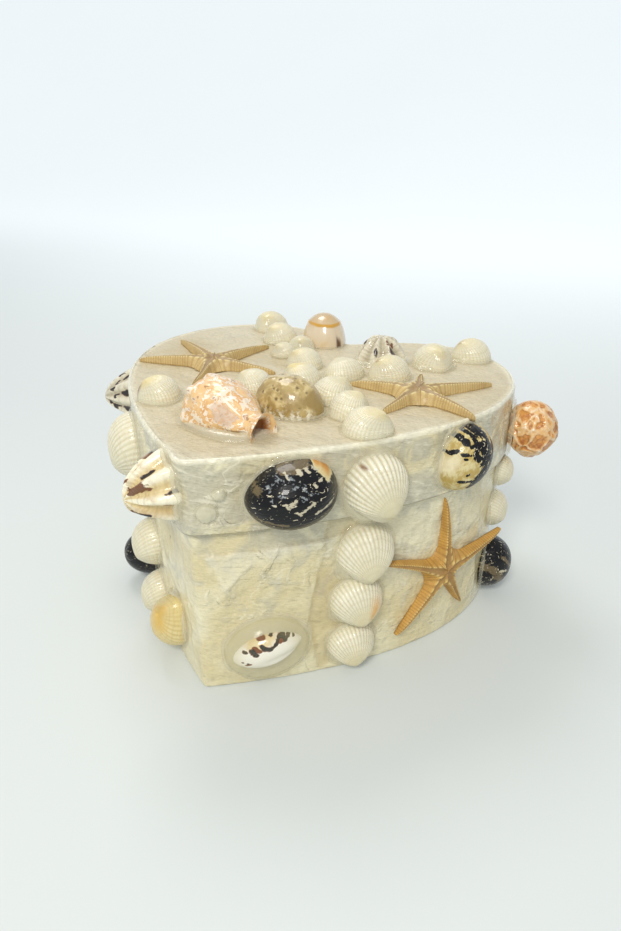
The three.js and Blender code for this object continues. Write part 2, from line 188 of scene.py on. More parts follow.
class Paint:
    """A node material being made."""

    def __init__(self, name: str) -> None:
        """Starts an empty material of that name."""
        self.material = bpy.data.materials.new(name)
        self.material.use_nodes = True
        self.tree = self.material.node_tree
        self.tree.nodes.clear()

    def node(
        self,
        kind: str,
        settings: dict[str, object] | None = None,
        sockets: dict[int | str, object] | None = None,
        output: int | str = 0,
    ) -> Value:
        """Adds a node.

        Args:
            kind: Its type, without the ShaderNode in front.
            settings: Its settings; "stops" are a colour ramp's positions and colours.
            sockets: Values or links of its inputs, by name or number.
            output: The output that is wanted.

        Returns:
            That output.
        """
        made = self.tree.nodes.new("ShaderNode" + kind)
        for name, setting in (settings or {}).items():
            if name == "stops":
                ramp = made.color_ramp.elements
                while len(ramp) < len(setting):
                    ramp.new(0.5)
                for element, (position, color) in zip(ramp, setting):
                    element.position = position
                    element.color = color
            else:
                setattr(made, name, setting)
        for key, value in (sockets or {}).items():
            if isinstance(value, Value):
                self.tree.links.new(value.socket, made.inputs[key])
            else:
                made.inputs[key].default_value = value
        return Value(self, made.outputs[output])

    def spot(self) -> Value:
        """Gives the place on the object, in metres."""
        return self.node("TexCoord", output="Object")

    def attribute(self, name: str) -> Value:
        """Gives a vector that the piece's own vertices carry."""
        return self.node("Attribute", {"attribute_name": name}, output="Vector")

    def parts(self, vector: Value) -> tuple[Value, Value, Value]:
        """Splits a vector in three."""
        split = self.node("SeparateXYZ", None, {0: vector})
        outputs = split.socket.node.outputs
        return split, Value(self, outputs[1]), Value(self, outputs[2])

    def vector(self, x: Operand, y: Operand, z: Operand = 0.0) -> Value:
        """Joins three values into a vector."""
        return self.node("CombineXYZ", None, {0: x, 1: y, 2: z})

    def stretched(self, vector: Value, x: float, y: float, z: float) -> Value:
        """Scales a vector's parts."""
        return self.node("VectorMath", {"operation": "MULTIPLY"}, {0: vector, 1: (x, y, z)})

    def clouds(self, vector: Value, scale: float, detail: float = 3.0, warp: float = 0.0) -> Value:
        """Gives soft noise.

        Args:
            vector: Where it is read.
            scale: Lumps to a unit.
            detail: How many finer layers it has.
            warp: How much it is stirred.

        Returns:
            Noise from 0 to 1, about 0.5 on average.
        """
        sockets = {"Vector": vector, "Scale": scale, "Detail": detail, "Distortion": warp}
        return self.node("TexNoise", {"noise_dimensions": "3D"}, sockets)

    def cells(self, vector: Value, scale: float, loose: float = 1.0) -> Value:
        """Gives the distance to the nearest of scattered points, in cells."""
        return self.node("TexVoronoi", None, {"Vector": vector, "Scale": scale, "Randomness": loose})

    def mix(self, share: Operand, first: Tone | Value, second: Tone | Value) -> Value:
        """Blends two colours.

        Args:
            share: How much of the second shows, 0 to 1.
            first: The colour at 0.
            second: The colour at 1.

        Returns:
            The blend.
        """
        return self.node("Mix", {"data_type": "RGBA"}, {0: share, 6: first, 7: second}, 2)

    def shaded(self, color: Value, depth: Operand, shade: Tone) -> Value:
        """Multiplies a colour by a shade, `depth` of the way."""
        settings = {"data_type": "RGBA", "blend_type": "MULTIPLY"}
        return self.node("Mix", settings, {0: depth, 6: color, 7: shade}, 2)

    def relief(self, height: Value, depth: float, under: Value | None = None) -> Value:
        """Turns a height into a normal.

        Args:
            height: The height, 0 to 1.
            depth: What 1 stands for, in metres.
            under: A normal that this one is laid on.

        Returns:
            The normal.
        """
        sockets: dict[int | str, object] = {"Height": height, "Distance": depth, "Strength": 1.0}
        if under:
            sockets["Normal"] = under
        return self.node("Bump", None, sockets)

    def finished(self, sockets: dict[int | str, object]) -> bpy.types.Material:
        """Ends the material with a principled surface of these sockets."""
        surface = self.node("BsdfPrincipled", None, sockets)
        end = self.tree.nodes.new("ShaderNodeOutputMaterial")
        self.tree.links.new(surface.socket, end.inputs["Surface"])
        return self.material


# ---- finishes --------------------------------------------------------------------------------


@dataclass(frozen=True)
class PearlPaper:
    """Cream pearl paint brushed over pasted paper, under gloss varnish.

    The walls carry `wall` (way along the wall and height, metres; 1 on the top) and `wear` (glue
    stain; closeness to the lid's edge, which sets a painted highlight there; height of the pasted
    relief, which sets painted highlights on its ridges and painted shade in its hollows).
    """

    cream: Tone = tone(241, 234, 200)
    warm: Tone = tone(228, 214, 168)
    silver: Tone = tone(186, 182, 162)
    pearl: Tone = tone(248, 243, 218)
    top: Tone = tone(216, 202, 170)
    # stain also paints the shade on the sunk side of the creases
    stain: Tone = tone(176, 152, 92)
    speck: Tone = tone(96, 70, 34)

    def material(self) -> bpy.types.Material:
        """Makes the material."""
        paint = Paint("pearl_paper")
        spot = paint.spot()
        along, level, flat = paint.parts(paint.attribute("wall"))
        halo, edge, lift = paint.parts(paint.attribute("wear"))
        slant = level + along * 0.22
        way = paint.mix(flat, paint.vector(along * 0.18, slant), paint.stretched(spot, 0.22, 1.0, 1.0))
        strokes = paint.clouds(way, 900, 4, 0.6)
        bristles = paint.clouds(way, 3200, 2)
        top_strokes = paint.clouds(paint.stretched(spot, 0.3, 1.0, 1.0), 1500, 4, 0.4)
        drift = paint.clouds(spot, 28, 3, 1.0)
        patches = paint.clouds(spot, 75, 4, 1.5)
        color = paint.mix(drift.step(0.35, 0.65), self.cream, self.warm)
        lid_side = level.step(LID_LOW.z - 0.001, LID_LOW.z) * (1 - flat)
        greyed = (patches + lid_side * 0.16).step(0.48, 0.68) * (lid_side * 0.25 + 0.5)
        color = paint.mix(greyed, color, self.silver)
        color = paint.mix((patches * 0.5 + strokes * 0.5 + lid_side * 0.05).step(0.56, 0.7) * 0.55, color, self.pearl)
        top_color = paint.mix(top_strokes.step(0.35, 0.7) * 0.5, self.top, self.silver)
        color = paint.mix(flat * 0.85, color, top_color)
        # painted highlight: lighter along the lid's rounded top edge
        color = paint.mix((edge ** 3.0) * 0.7, color, self.pearl)
        color = paint.shaded(color, (bristles.step(0.62, 0.4) * 0.16).most(0.0), tone(150, 138, 110))
        low = level.step(0.045, 0.0) * (1 - flat) * patches.step(0.3, 0.6)
        color = paint.mix(low * 0.35, color, self.warm)
        # painted shade: a greyer band, broken into patches, on the body just under the lid's overhang
        under = level.step(0.049, 0.06) * (1 - lid_side) * (1 - flat) * patches.step(0.35, 0.6)
        color = paint.mix(under * 0.45, color, self.silver)
        # painted highlight on the raised side of the pasted creases, and painted shade in the stain colour on their
        # sunk side
        color = paint.mix(lift.step(0.4, 0.85) * 0.4, color, self.pearl)
        color = paint.mix(lift.step(-0.15, -0.5) * 0.35, color, self.stain)
        # painted shadow: a dark line on the wall just under the lid's foot
        painted_joint_shadow = (level - LID_FOOT * MM).magnitude().step(0.0009, 0.0003)
        color = paint.mix(painted_joint_shadow * 0.6, color, tone(122, 108, 80))
        color = paint.mix(halo * 0.55, color, self.stain)
        dots = paint.cells(spot, 95).step(0.075, 0.05) * paint.clouds(spot, 60).step(0.6, 0.64)
        color = paint.mix(dots * 0.85, color, self.speck)
        lumps = paint.clouds(spot, 260, 3)
        grain = paint.mix(flat, strokes, top_strokes)
        ridges = paint.node("RGBToBW", None, {0: grain})
        puddle = paint.clouds(spot, 125, 2, 0.9)
        glazed = paint.clouds(spot, 42, 2).step(0.5, 0.58) * (1 - flat)
        outline = (puddle - 0.57).magnitude().step(0.022, 0.006) * glazed
        color = paint.mix(outline * 0.35, color, self.pearl)
        normal = paint.relief(puddle.step(0.5, 0.64) * glazed, 0.00035)
        normal = paint.relief(lumps, 0.0009, normal)
        normal = paint.relief(paint.clouds(spot, 90, 3, 0.4), 0.0018, normal)
        normal = paint.relief(ridges, 0.00035, normal)
        normal = paint.relief(bristles, 0.00008, normal)
        rough = 0.34 - glazed * 0.1 + flat * 0.16 + (patches - 0.5) * 0.4 + strokes * 0.1
        return paint.finished({
            "Base Color": color, "Roughness": rough, "Normal": normal, "Metallic": 0.0,
            "Coat Weight": 0.55 - flat * 0.35, "Coat Roughness": 0.12, "Coat IOR": 1.5,
        })


@dataclass(frozen=True)
class CockleShell:
    """Varnished cockle shell: `grow` carries the way from umbo to margin, the rib, the yellowing.

    `mark` carries the umbo's brown stain and the orange flank.
    """

    name: str
    light: Tone = tone(246, 241, 222)
    base: Tone = tone(232, 225, 196)
    groove: Tone = tone(204, 193, 158)
    yellow: Tone = tone(236, 216, 150)
    brown: Tone = tone(120, 70, 24)
    orange: Tone = tone(226, 166, 70)

    def material(self) -> bpy.types.Material:
        """Makes the material."""
        paint = Paint(self.name)
        spot = paint.spot()
        grown, rib, warmth = paint.parts(paint.attribute("grow"))
        stained, orange, _ = paint.parts(paint.attribute("mark"))
        cloud = paint.clouds(spot, 220, 3, 0.5)
        # painted shade darkens the grooves between the ribs; a painted highlight, mixed with random whiter patches,
        # lightens the rib crests
        color = paint.mix(rib.step(-1.0, 0.5) * 0.8 + 0.2, self.groove, self.base)
        color = paint.mix((rib * 0.5 + cloud).step(0.45, 1.05) * 0.85, color, self.light)
        bands = (grown * 42 + cloud * 7).wave().step(0.2, 1.0) * 0.22
        color = paint.mix(bands, color, self.groove)
        crown = (1.1 - grown + (cloud - 0.5) * 0.8).step(0.3, 0.95)
        color = paint.mix(crown * warmth, color, self.yellow)
        color = paint.mix(orange * 0.85, color, self.orange)
        color = paint.mix(stained * (cloud + 0.35).least(1.0), color, self.brown)
        freckles = paint.cells(spot, 520).step(0.12, 0.05) * paint.clouds(spot, 300).step(0.6, 0.66)
        color = paint.mix(freckles * 0.5, color, self.brown)
        growth = (grown * 150 + cloud * 14).wave()
        normal = paint.relief(growth * 0.5 + cloud, 0.00007)
        normal = paint.relief(paint.clouds(spot, 1800, 2), 0.00004, normal)
        return paint.finished({
            "Base Color": color, "Roughness": 0.36 + cloud * 0.14, "Normal": normal,
            "Coat Weight": 0.5, "Coat Roughness": 0.1, "Subsurface Weight": 0.12,
            "Subsurface Radius": (0.002, 0.0014, 0.0008), "Subsurface Scale": 1.0,
        })


@dataclass(frozen=True)
class BlackNerite:
    """Black nerite with natural cream marks; `place` carries the spot on the shell.

    `grow` carries the tan ground, the share of scattered dashes and the tan flank. `mark` carries
    the cream marks, the painted reflection of the sky and the orange spot.
    """

    black: Tone = tone(9, 9, 12)
    cream: Tone = tone(214, 204, 176)
    tan: Tone = tone(184, 158, 88)
    pale: Tone = tone(216, 202, 152)
    orange: Tone = tone(206, 142, 56)
    painted_sky_reflection: Tone = tone(190, 198, 200)
    brown: Tone = tone(92, 66, 40)

    def material(self) -> bpy.types.Material:
        """Makes the material."""
        paint = Paint("black_shell")
        spot = paint.spot()
        place = paint.attribute("place")
        across, length, height = paint.parts(place)
        ground, scatter, flank = paint.parts(paint.attribute("grow"))
        marks, reflection_share, spire = paint.parts(paint.attribute("mark"))
        swirl = paint.clouds(paint.stretched(place, 1.0, 0.45, 1.0), 5.5, 3, 1.4)
        streaks = paint.clouds(paint.stretched(place, 1.5, 0.5, 1.0), 16, 2, 0.6)
        dashes = paint.clouds(paint.stretched(place, 1.6, 0.7, 1.0), 8.5, 2, 1.2)
        fine = paint.clouds(spot, 900, 3, 0.6)
        middling = paint.clouds(spot, 420, 2, 0.8)
        scattered = (dashes + scatter * 0.09).step(0.66, 0.69)
        color = paint.mix(scattered, self.black, self.cream)
        grey = (fine * 0.7 + height.step(0.9, 0.2) * 0.2).step(0.56, 0.7)
        color = paint.mix(grey * 0.09, color, self.cream)
        dull = (flank * 0.55 + middling * 0.7 + fine * 0.4).step(0.86, 1.0)
        color = paint.mix(dull * 0.55, color, tone(140, 122, 88))
        edge = (middling - 0.5) * 0.8 + (fine - 0.5) * 0.9
        color = paint.mix((marks + edge + (streaks - 0.5) * 1.6).step(0.5, 0.72) * 0.8, color, self.cream)
        # painted reflection: a bluish-white speckled sheen of the sky on the glossy shell
        flecks = (reflection_share * 0.85 + (fine - 0.5) * 2.6 + (middling - 0.5) * 0.9).step(0.72, 1.05)
        color = paint.mix(flecks * 0.5, color, self.painted_sky_reflection)
        yellow = paint.mix((middling * 0.6 + swirl * 0.4).step(0.42, 0.62), self.tan, self.pale)
        rim = (across - 0.85).magnitude().step(0.25, 0.05) * length.step(-0.1, 0.4)
        yellow = paint.mix(rim * 0.7, yellow, tone(238, 228, 196))
        tanned = (ground + (middling - 0.5) * 0.8 + (fine - 0.5) * 0.6).step(0.44, 0.54)
        color = paint.mix(tanned, color, yellow)
        spot_share = (spire + (middling - 0.5) * 0.5).step(0.4, 0.52)
        glow = paint.mix((spire + (middling - 0.5) * 0.3).step(0.45, 0.95), self.pale, self.orange)
        color = paint.mix(spot_share, color, glow)
        normal = paint.relief((across * 50 + swirl * 8).wave() * 0.2 + middling, 0.0001)
        return paint.finished({
            "Base Color": color, "Roughness": 0.28 + fine * 0.15, "Normal": normal,
            "Coat Weight": 0.35, "Coat Roughness": 0.06, "Specular IOR Level": 0.2,
        })


@dataclass(frozen=True)
class TanNerite:
    """Olive-tan worn nerite, pitted, with a crust of white glue along its front."""

    tan: Tone = tone(196, 172, 112)
    pale: Tone = tone(220, 200, 146)
    olive: Tone = tone(160, 134, 76)
    pit: Tone = tone(92, 72, 34)
    crust: Tone = tone(240, 234, 214)

    def material(self) -> bpy.types.Material:
        """Makes the material."""
        paint = Paint("tan_shell")
        spot = paint.spot()
        across, length, height = paint.parts(paint.attribute("place"))
        cloud = paint.clouds(spot, 170, 4, 0.7)
        fine = paint.clouds(spot, 700, 3)
        color = paint.mix(cloud.step(0.35, 0.65), self.olive, self.tan)
        color = paint.mix((cloud * 0.5 + fine * 0.5).step(0.5, 0.62) * 0.8, color, self.pale)
        pits = paint.cells(spot, 430).step(0.32, 0.12) * cloud.step(0.42, 0.55)
        color = paint.mix(pits * 0.75, color, self.pit)
        color = paint.mix(length.step(-0.62, -0.95) * 0.7, color, self.olive)
        low = height.step(0.34, 0.05) * across.step(0.1, 0.5) * fine.step(0.44, 0.6)
        color = paint.mix(low * 0.85, color, self.crust)
        normal = paint.relief(fine - pits * 0.8 + low * 0.6, 0.00035)
        return paint.finished({
            "Base Color": color, "Roughness": 0.3 + fine * 0.25, "Normal": normal,
            "Coat Weight": 0.6, "Coat Roughness": 0.1,
        })


@dataclass(frozen=True)
class PeachShell:
    """Peach, orange and white mottled shell.

    `grow` carries the way along it, the knobs and the share of the pale net; `mark` carries the
    worn patch, the white streak and the dark inside or nodule.
    """

    peach: Tone = tone(236, 196, 138)
    orange: Tone = tone(212, 142, 58)
    white: Tone = tone(246, 234, 212)
    rosy: Tone = tone(206, 174, 146)
    brown: Tone = tone(150, 88, 30)

    def material(self) -> bpy.types.Material:
        """Makes the material."""
        paint = Paint("peach_shell")
        spot = paint.spot()
        grown, knob, net = paint.parts(paint.attribute("grow"))
        worn, streak, inside = paint.parts(paint.attribute("mark"))
        cloud = paint.clouds(spot, 170, 4, 1.8)
        fine = paint.clouds(spot, 560, 3, 0.8)
        mottled = net.step(0.7, 0.3)
        color = paint.mix((cloud * 0.7 + fine * 0.3).step(0.42, 0.62) * 0.85, self.peach, self.orange)
        white = (cloud * 0.4 + fine * 0.6 + knob * 0.06 + mottled * 0.02).step(0.52, 0.57)
        color = paint.mix(white * mottled * 0.9, color, self.white)
        rust = (fine * 0.6 + paint.clouds(spot, 260, 2, 1.0) * 0.4).step(0.58, 0.64)
        color = paint.mix(rust * mottled * 0.75, color, self.brown)
        color = paint.mix((worn + (fine - 0.5) * 1.1 + (cloud - 0.5) * 0.8).step(0.35, 0.75) * 0.75, color, self.rosy)
        color = paint.mix((streak + (fine - 0.5) * 0.5).step(0.4, 0.55), color, self.white)
        netted = net.step(0.9, 1.0)
        window = paint.mix((cloud + fine).step(0.8, 1.15), tone(220, 156, 78), tone(178, 104, 34))
        ridged = knob + (fine - 0.5) * 2.4 + (cloud - 0.5) * 2.0
        lattice = paint.mix(ridged.step(-0.5, 0.5) * 0.95, window, tone(232, 188, 128))
        lattice = paint.mix(ridged.step(0.6, 1.5) * 0.75, lattice, self.white)
        lattice = paint.mix(cloud.step(0.6, 0.7) * 0.5, lattice, tone(176, 108, 44))
        color = paint.mix(netted, color, lattice)
        color = paint.mix(inside, color, self.brown)
        bands = (grown * 70 + cloud * 5).wave()
        normal = paint.relief(fine + bands * 0.25, 0.0003)
        return paint.finished({
            "Base Color": color, "Roughness": 0.3 + fine * 0.2, "Normal": normal,
            "Coat Weight": 0.6, "Coat Roughness": 0.08,
        })


@dataclass(frozen=True)
class RosyCowry:
    """Ring cowry: beige-rose back, a gold ring round it, paler flanks, a dark mouth notch."""

    back: Tone = tone(206, 180, 138)
    flank: Tone = tone(224, 206, 176)
    gold: Tone = tone(206, 156, 58)
    notch: Tone = tone(94, 58, 24)

    def material(self) -> bpy.types.Material:
        """Makes the material."""
        paint = Paint("rosy_shell")
        spot = paint.spot()
        across, length, height = paint.parts(paint.attribute("place"))
        cloud = paint.clouds(spot, 150, 3)
        reach = ((across * across + length * length) ** 0.5) + (cloud - 0.5) * 0.08
        color = paint.mix(reach.step(0.72, 0.8), self.back, self.flank)
        color = paint.mix((reach - 0.74).magnitude().step(0.06, 0.02), color, self.gold)
        color = paint.mix(cloud.step(0.5, 0.7) * 0.3, color, self.gold)
        mouth = length.step(0.8, 0.9) * height.step(0.5, 0.2) * (across + 0.4).magnitude().step(0.2, 0.08)
        color = paint.mix(mouth, color, self.notch)
        normal = paint.relief(paint.clouds(spot, 260, 2), 0.00012)
        return paint.finished({
            "Base Color": color, "Roughness": 0.22 + cloud * 0.1, "Normal": normal,
            "Coat Weight": 0.8, "Coat Roughness": 0.06,
        })


@dataclass(frozen=True)
class LimpetShell:
    """Ribbed limpet; `grow` carries the way from the crown, the rib and the tanned underside.

    `mark` carries the black marks, the brown blotches and the worn lip.
    """

    name: str
    ground: Tone = tone(206, 196, 168)
    rib: Tone = tone(230, 222, 198)
    dark: Tone = tone(24, 20, 20)
    blotch: Tone = tone(112, 62, 18)
    shade: Tone = tone(160, 148, 118)
    under: Tone = tone(190, 160, 104)

    def material(self) -> bpy.types.Material:
        """Makes the material."""
        paint = Paint(self.name)
        spot = paint.spot()
        grown, rib, tanned = paint.parts(paint.attribute("grow"))
        black, brown, lip = paint.parts(paint.attribute("mark"))
        cloud = paint.clouds(spot, 240, 3, 0.6)
        fine = paint.clouds(spot, 800, 3)
        color = paint.mix((rib + cloud).step(-0.4, 1.1), self.ground, self.rib)
        color = paint.mix(cloud.step(0.5, 0.68) * 0.45, color, self.shade)
        color = paint.mix(rib.step(-0.5, -1.0) * 0.35, color, self.shade)
        rings = (grown * 40 + cloud * 6).wave().step(0.3, 1.0)
        color = paint.mix(rings * 0.15, color, self.blotch)
        color = paint.mix(tanned * (cloud * 0.8 + 0.35), color, self.under)
        edges = (fine - 0.5) * 1.3 + (cloud - 0.5) * 0.8
        color = paint.mix((brown + edges).step(0.4, 0.6) * 0.97, color, self.blotch)
        color = paint.mix((black + edges * 0.6).step(0.26, 0.42) * 0.8, color, self.blotch)
        color = paint.mix((black + brown * cloud * 0.45 + edges * 0.7).step(0.42, 0.52) * 0.96, color, self.dark)
        color = paint.mix(lip * 0.8, color, self.rib)
        growth = (grown * 90 + cloud * 9).wave()
        normal = paint.relief(growth * 0.3 + fine, 0.00014)
        return paint.finished({
            "Base Color": color, "Roughness": 0.3 + cloud * 0.2, "Normal": normal,
            "Coat Weight": 0.5, "Coat Roughness": 0.08,
        })


@dataclass(frozen=True)
class DriedStarfish:
    """Dried starfish: beaded rims with a painted highlight, striped steep sides and a dusty sunk middle.

    `grow` carries the bead, the side and the rim, from 0 to 1 each.
    """

    name: str = "starfish_pale"
    gold: Tone = tone(212, 184, 124)
    deep: Tone = tone(146, 110, 56)
    rim: Tone = tone(240, 222, 156)
    middle: Tone = tone(174, 148, 108)

    def material(self) -> bpy.types.Material:
        """Makes the material."""
        paint = Paint(self.name)
        spot = paint.spot()
        bead, side, rim = paint.parts(paint.attribute("grow"))
        cloud = paint.clouds(spot, 180, 3)
        grit = paint.clouds(spot, 2600, 2)
        color = paint.mix(side, self.middle, self.gold)
        color = paint.mix(cloud.step(0.4, 0.66) * 0.3, color, self.deep)
        color = paint.mix(side * bead.step(0.5, 0.1) * 0.3, color, self.deep)
        # painted highlight: a pale line on the bead crests along the arms' raised rims
        color = paint.mix(rim * bead.step(0.1, 0.7) * 0.95, color, self.rim)
        color = paint.mix(grit.step(0.55, 0.7) * 0.25, color, self.deep)
        normal = paint.relief(grit, 0.00012)
        normal = paint.relief(paint.cells(spot, 1500), 0.00012, normal)
        return paint.finished({
            "Base Color": color, "Roughness": 0.55 + grit * 0.15, "Normal": normal,
            "Coat Weight": 0.25, "Coat Roughness": 0.25,
        })


@dataclass(frozen=True)
class ClearResin:
    """Clear resin drop: see-through over the shell that it holds, yellower toward its rim."""

    tint: Tone = tone(222, 208, 150)

    def material(self) -> bpy.types.Material:
        """Makes the material."""
        paint = Paint("clear_resin")
        spot = paint.spot()
        ripple = paint.clouds(spot, 130, 2)
        middle = BODY_WALL.seat(21.5, 15, 0).translation
        x, y, z = paint.parts(spot)
        away = ((x - middle.x) ** 2.0 + (y - middle.y) ** 2.0 + (z - middle.z) ** 2.0) ** 0.5
        return paint.finished({
            "Base Color": self.tint, "Roughness": 0.03, "Normal": paint.relief(ripple, 0.0007),
            "Alpha": away.step(0.0095, 0.0125) * 0.22 + 0.06, "Coat Weight": 1.0, "Coat Roughness": 0.02,
        })


@dataclass(frozen=True)
class CraftGlue:
    """Dried craft glue: a thin glossy film, pale yellow where it is thick."""

    film: Tone = tone(238, 232, 202)

    def material(self) -> bpy.types.Material:
        """Makes the material."""
        paint = Paint("craft_glue")
        _, thick, _ = paint.parts(paint.attribute("grow"))
        ripple = paint.clouds(paint.spot(), 420, 3)
        return paint.finished({
            "Base Color": self.film, "Roughness": 0.12, "Alpha": 0.2 + thick * 0.4,
            "Normal": paint.relief(ripple, 0.0006), "Coat Weight": 1.0, "Coat Roughness": 0.04,
        })


@dataclass(frozen=True)
class SealedShell:
    """The white shell sealed in the drop; `mark` carries its black figure and brown fringe."""

    white: Tone = tone(248, 244, 230)
    cream: Tone = tone(232, 212, 164)
    black: Tone = tone(16, 18, 26)
    brown: Tone = tone(120, 56, 20)

    def material(self) -> bpy.types.Material:
        """Makes the material."""
        paint = Paint("sealed_shell")
        spot = paint.spot()
        figure, fringe, warm = paint.parts(paint.attribute("mark"))
        fine = paint.clouds(spot, 620, 3, 0.5)
        color = paint.mix((warm + (fine - 0.5) * 0.6).step(0.3, 0.8), self.white, self.cream)
        color = paint.mix((fringe + (fine - 0.5) * 0.4).step(0.4, 0.55), color, self.brown)
        color = paint.mix((figure + (fine - 0.5) * 0.9).step(0.5, 0.6) * 0.9, color, self.brown)
        color = paint.mix((figure + (fine - 0.5) * 0.9).step(0.6, 0.68), color, self.black)
        normal = paint.relief(fine, 0.0001)
        return paint.finished({
            "Base Color": color, "Roughness": 0.25, "Normal": normal,
            "Coat Weight": 0.6, "Coat Roughness": 0.05,
        })


@dataclass(frozen=True)
class PaleFloor:
    """Matt pale floor and backdrop."""

    pale: Tone = tone(213, 217, 213)

    def material(self) -> bpy.types.Material:
        """Makes the material."""
        paint = Paint("pale_floor")
        spot = paint.spot()
        _, away, _ = paint.parts(spot)
        cloud = paint.clouds(spot, 3, 2)
        color = paint.mix(cloud * 0.3, self.pale, tone(196, 201, 202))
        glow = paint.mix(away.step(0.05, 0.95), tone(72, 76, 76), tone(186, 192, 197))
        return paint.finished({
            "Base Color": color, "Roughness": 0.7, "Specular IOR Level": 0.2,
            "Emission Color": glow, "Emission Strength": 1.0,
        })


# ---- mesh tools ------------------------------------------------------------------------------


@dataclass
class Spot:
    """Where a vertex goes, in metres, and what it carries for its finish."""

    at: Vector
    carried: dict[str, tuple[float, float, float]] = field(default_factory=dict)


class Skin:
    """A mesh of closed rows of vertices that a formula moves into place."""

    def __init__(self, *layers: str) -> None:
        """Starts an empty skin whose vertices carry the named vectors."""
        self.mesh = bmesh.new()
        self.layers = {name: self.mesh.verts.layers.float_vector.new(name) for name in layers}

    def add(self, rows: int, around: int, shape: Callable[[int, int], Spot]) -> None:
        """Adds a grid of quads and moves its vertices, so that its two sides meet.

        Args:
            rows: Vertices down the grid.
            around: Quads across it.
            shape: Gives the spot of a vertex from its row and its step across.
        """
        made = bmesh.ops.create_grid(self.mesh, x_segments=around, y_segments=rows - 1, size=1)
        for vertex in made["verts"]:
            step = round((vertex.co.x + 1) / 2 * around) % around
            spot = shape(round((vertex.co.y + 1) / 2 * (rows - 1)), step)
            vertex.co = spot.at
            for name, value in spot.carried.items():
                vertex[self.layers[name]] = value

    def closed(self) -> bmesh.types.BMesh:
        """Merges poles and seams and turns the faces outwards."""
        bmesh.ops.remove_doubles(self.mesh, verts=self.mesh.verts, dist=2e-6)
        bmesh.ops.recalc_face_normals(self.mesh, faces=self.mesh.faces)
        for face in self.mesh.faces:
            face.smooth = True
        return self.mesh


def set_piece(name: str, mesh: bmesh.types.BMesh, finish: bpy.types.Material,
              nodes: Sequence[str]) -> bpy.types.Object:
    """Makes a finished piece of the object.

    Args:
        name: Its name.
        mesh: Its shape, in place; it is freed.
        finish: Its material.
        nodes: The CAD nodes that it stands for.

    Returns:
        The piece.
    """
    low, high = CAD_BOX
    for vertex in mesh.verts:
        vertex.co = [min(max(way, least), most) for way, least, most in zip(vertex.co, low, high)]
    data = bpy.data.meshes.new(name)
    mesh.to_mesh(data)
    mesh.free()
    data.materials.append(finish)
    piece = bpy.data.objects.new(name, data)
    bpy.context.scene.collection.objects.link(piece)
    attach(piece, "root")
    if nodes:
        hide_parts(*nodes)
    LOG.info("%s: %d faces", name, len(data.polygons))
    return piece


def bell(distance: float, width: float) -> float:
    """Falls from 1 at 0 to nothing a few widths away."""
    return exp(-((distance / width) ** 2))


def ease(value: float, low: float, high: float) -> float:
    """Eases from 0 at `low` to 1 at `high`."""
    share = min(1.0, max(0.0, (value - low) / (high - low)))
    return share * share * (3 - 2 * share)


@dataclass(frozen=True)
class Stroke:
    """A painted-looking natural mark: a line through points, `size` from its middle to its edge.

    Points are shares of a shell's half width and half length.
    """

    points: tuple[Point, ...]
    size: float

    def cover(self, x: float, y: float) -> float:
        """Gives 1 on the line, a half at its edge and 0 at twice its size."""
        nearest = 9.0
        for (ax, ay), (bx, by) in zip(self.points, self.points[1:] or self.points):
            dx, dy = bx - ax, by - ay
            share = ((x - ax) * dx + (y - ay) * dy) / max(1e-9, dx * dx + dy * dy)
            share = min(1.0, max(0.0, share))
            nearest = min(nearest, hypot(x - ax - share * dx, y - ay - share * dy))
        return max(0.0, 1 - nearest / (2 * self.size))


def ink(strokes: Sequence[Stroke], x: float, y: float) -> float:
    """Gives how much the strokes cover a place."""
    return max((stroke.cover(x, y) for stroke in strokes), default=0.0)


def span(start: float, end: float, steps: int) -> list[float]:
    """Gives evenly spaced values after `start`, up to and with `end`."""
    return [start + (end - start) * (step + 1) / steps for step in range(steps)]


# ---- the heart -------------------------------------------------------------------------------


@dataclass(frozen=True)
class Heart:
    """The cavity's outline: its right half as three cubic curves, in millimetres."""

    tip: Point = (0, -65)
    flank: tuple[Point, Point] = ((25, -49.5), (70, -13))
    widest: Point = (70, 25)
    crown: Point = (36, 65)
    valley: tuple[Point, Point] = ((18, 65), (8, 50))
    notch: Point = (0, 50)
    hub: Point = (0, 12)
    round: float = 0.5523

    def right_half(self, steps: int = 160) -> tuple[list[Vector], list[Vector]]:
        """Samples the right half from the tip to the notch.

        Args:
            steps: Points on each curve.

        Returns:
            The points and the outward normals there.
        """
        rise, reach = self.crown[1] - self.widest[1], self.widest[0] - self.crown[0]
        shoulder = (self.widest[0], self.widest[1] + self.round * rise)
        brow = (self.crown[0] + self.round * reach, self.crown[1])
        curves = [
            (self.tip, *self.flank, self.widest),
            (self.widest, shoulder, brow, self.crown),
            (self.crown, *self.valley, self.notch),
        ]
        points = [Vector(self.tip)]
        for curve in curves:
            points += interpolate_bezier(*[Vector(point) for point in curve], steps)[1:]
        points = [point.to_2d() for point in points]
        last = len(points) - 1
        ways = [points[min(i + 1, last)] - points[max(i - 1, 0)] for i in range(last + 1)]
        normals = [Vector((way.y, -way.x)).normalized() for way in ways]
        normals[-1] = Vector((0.0, 1.0))
        return points, normals


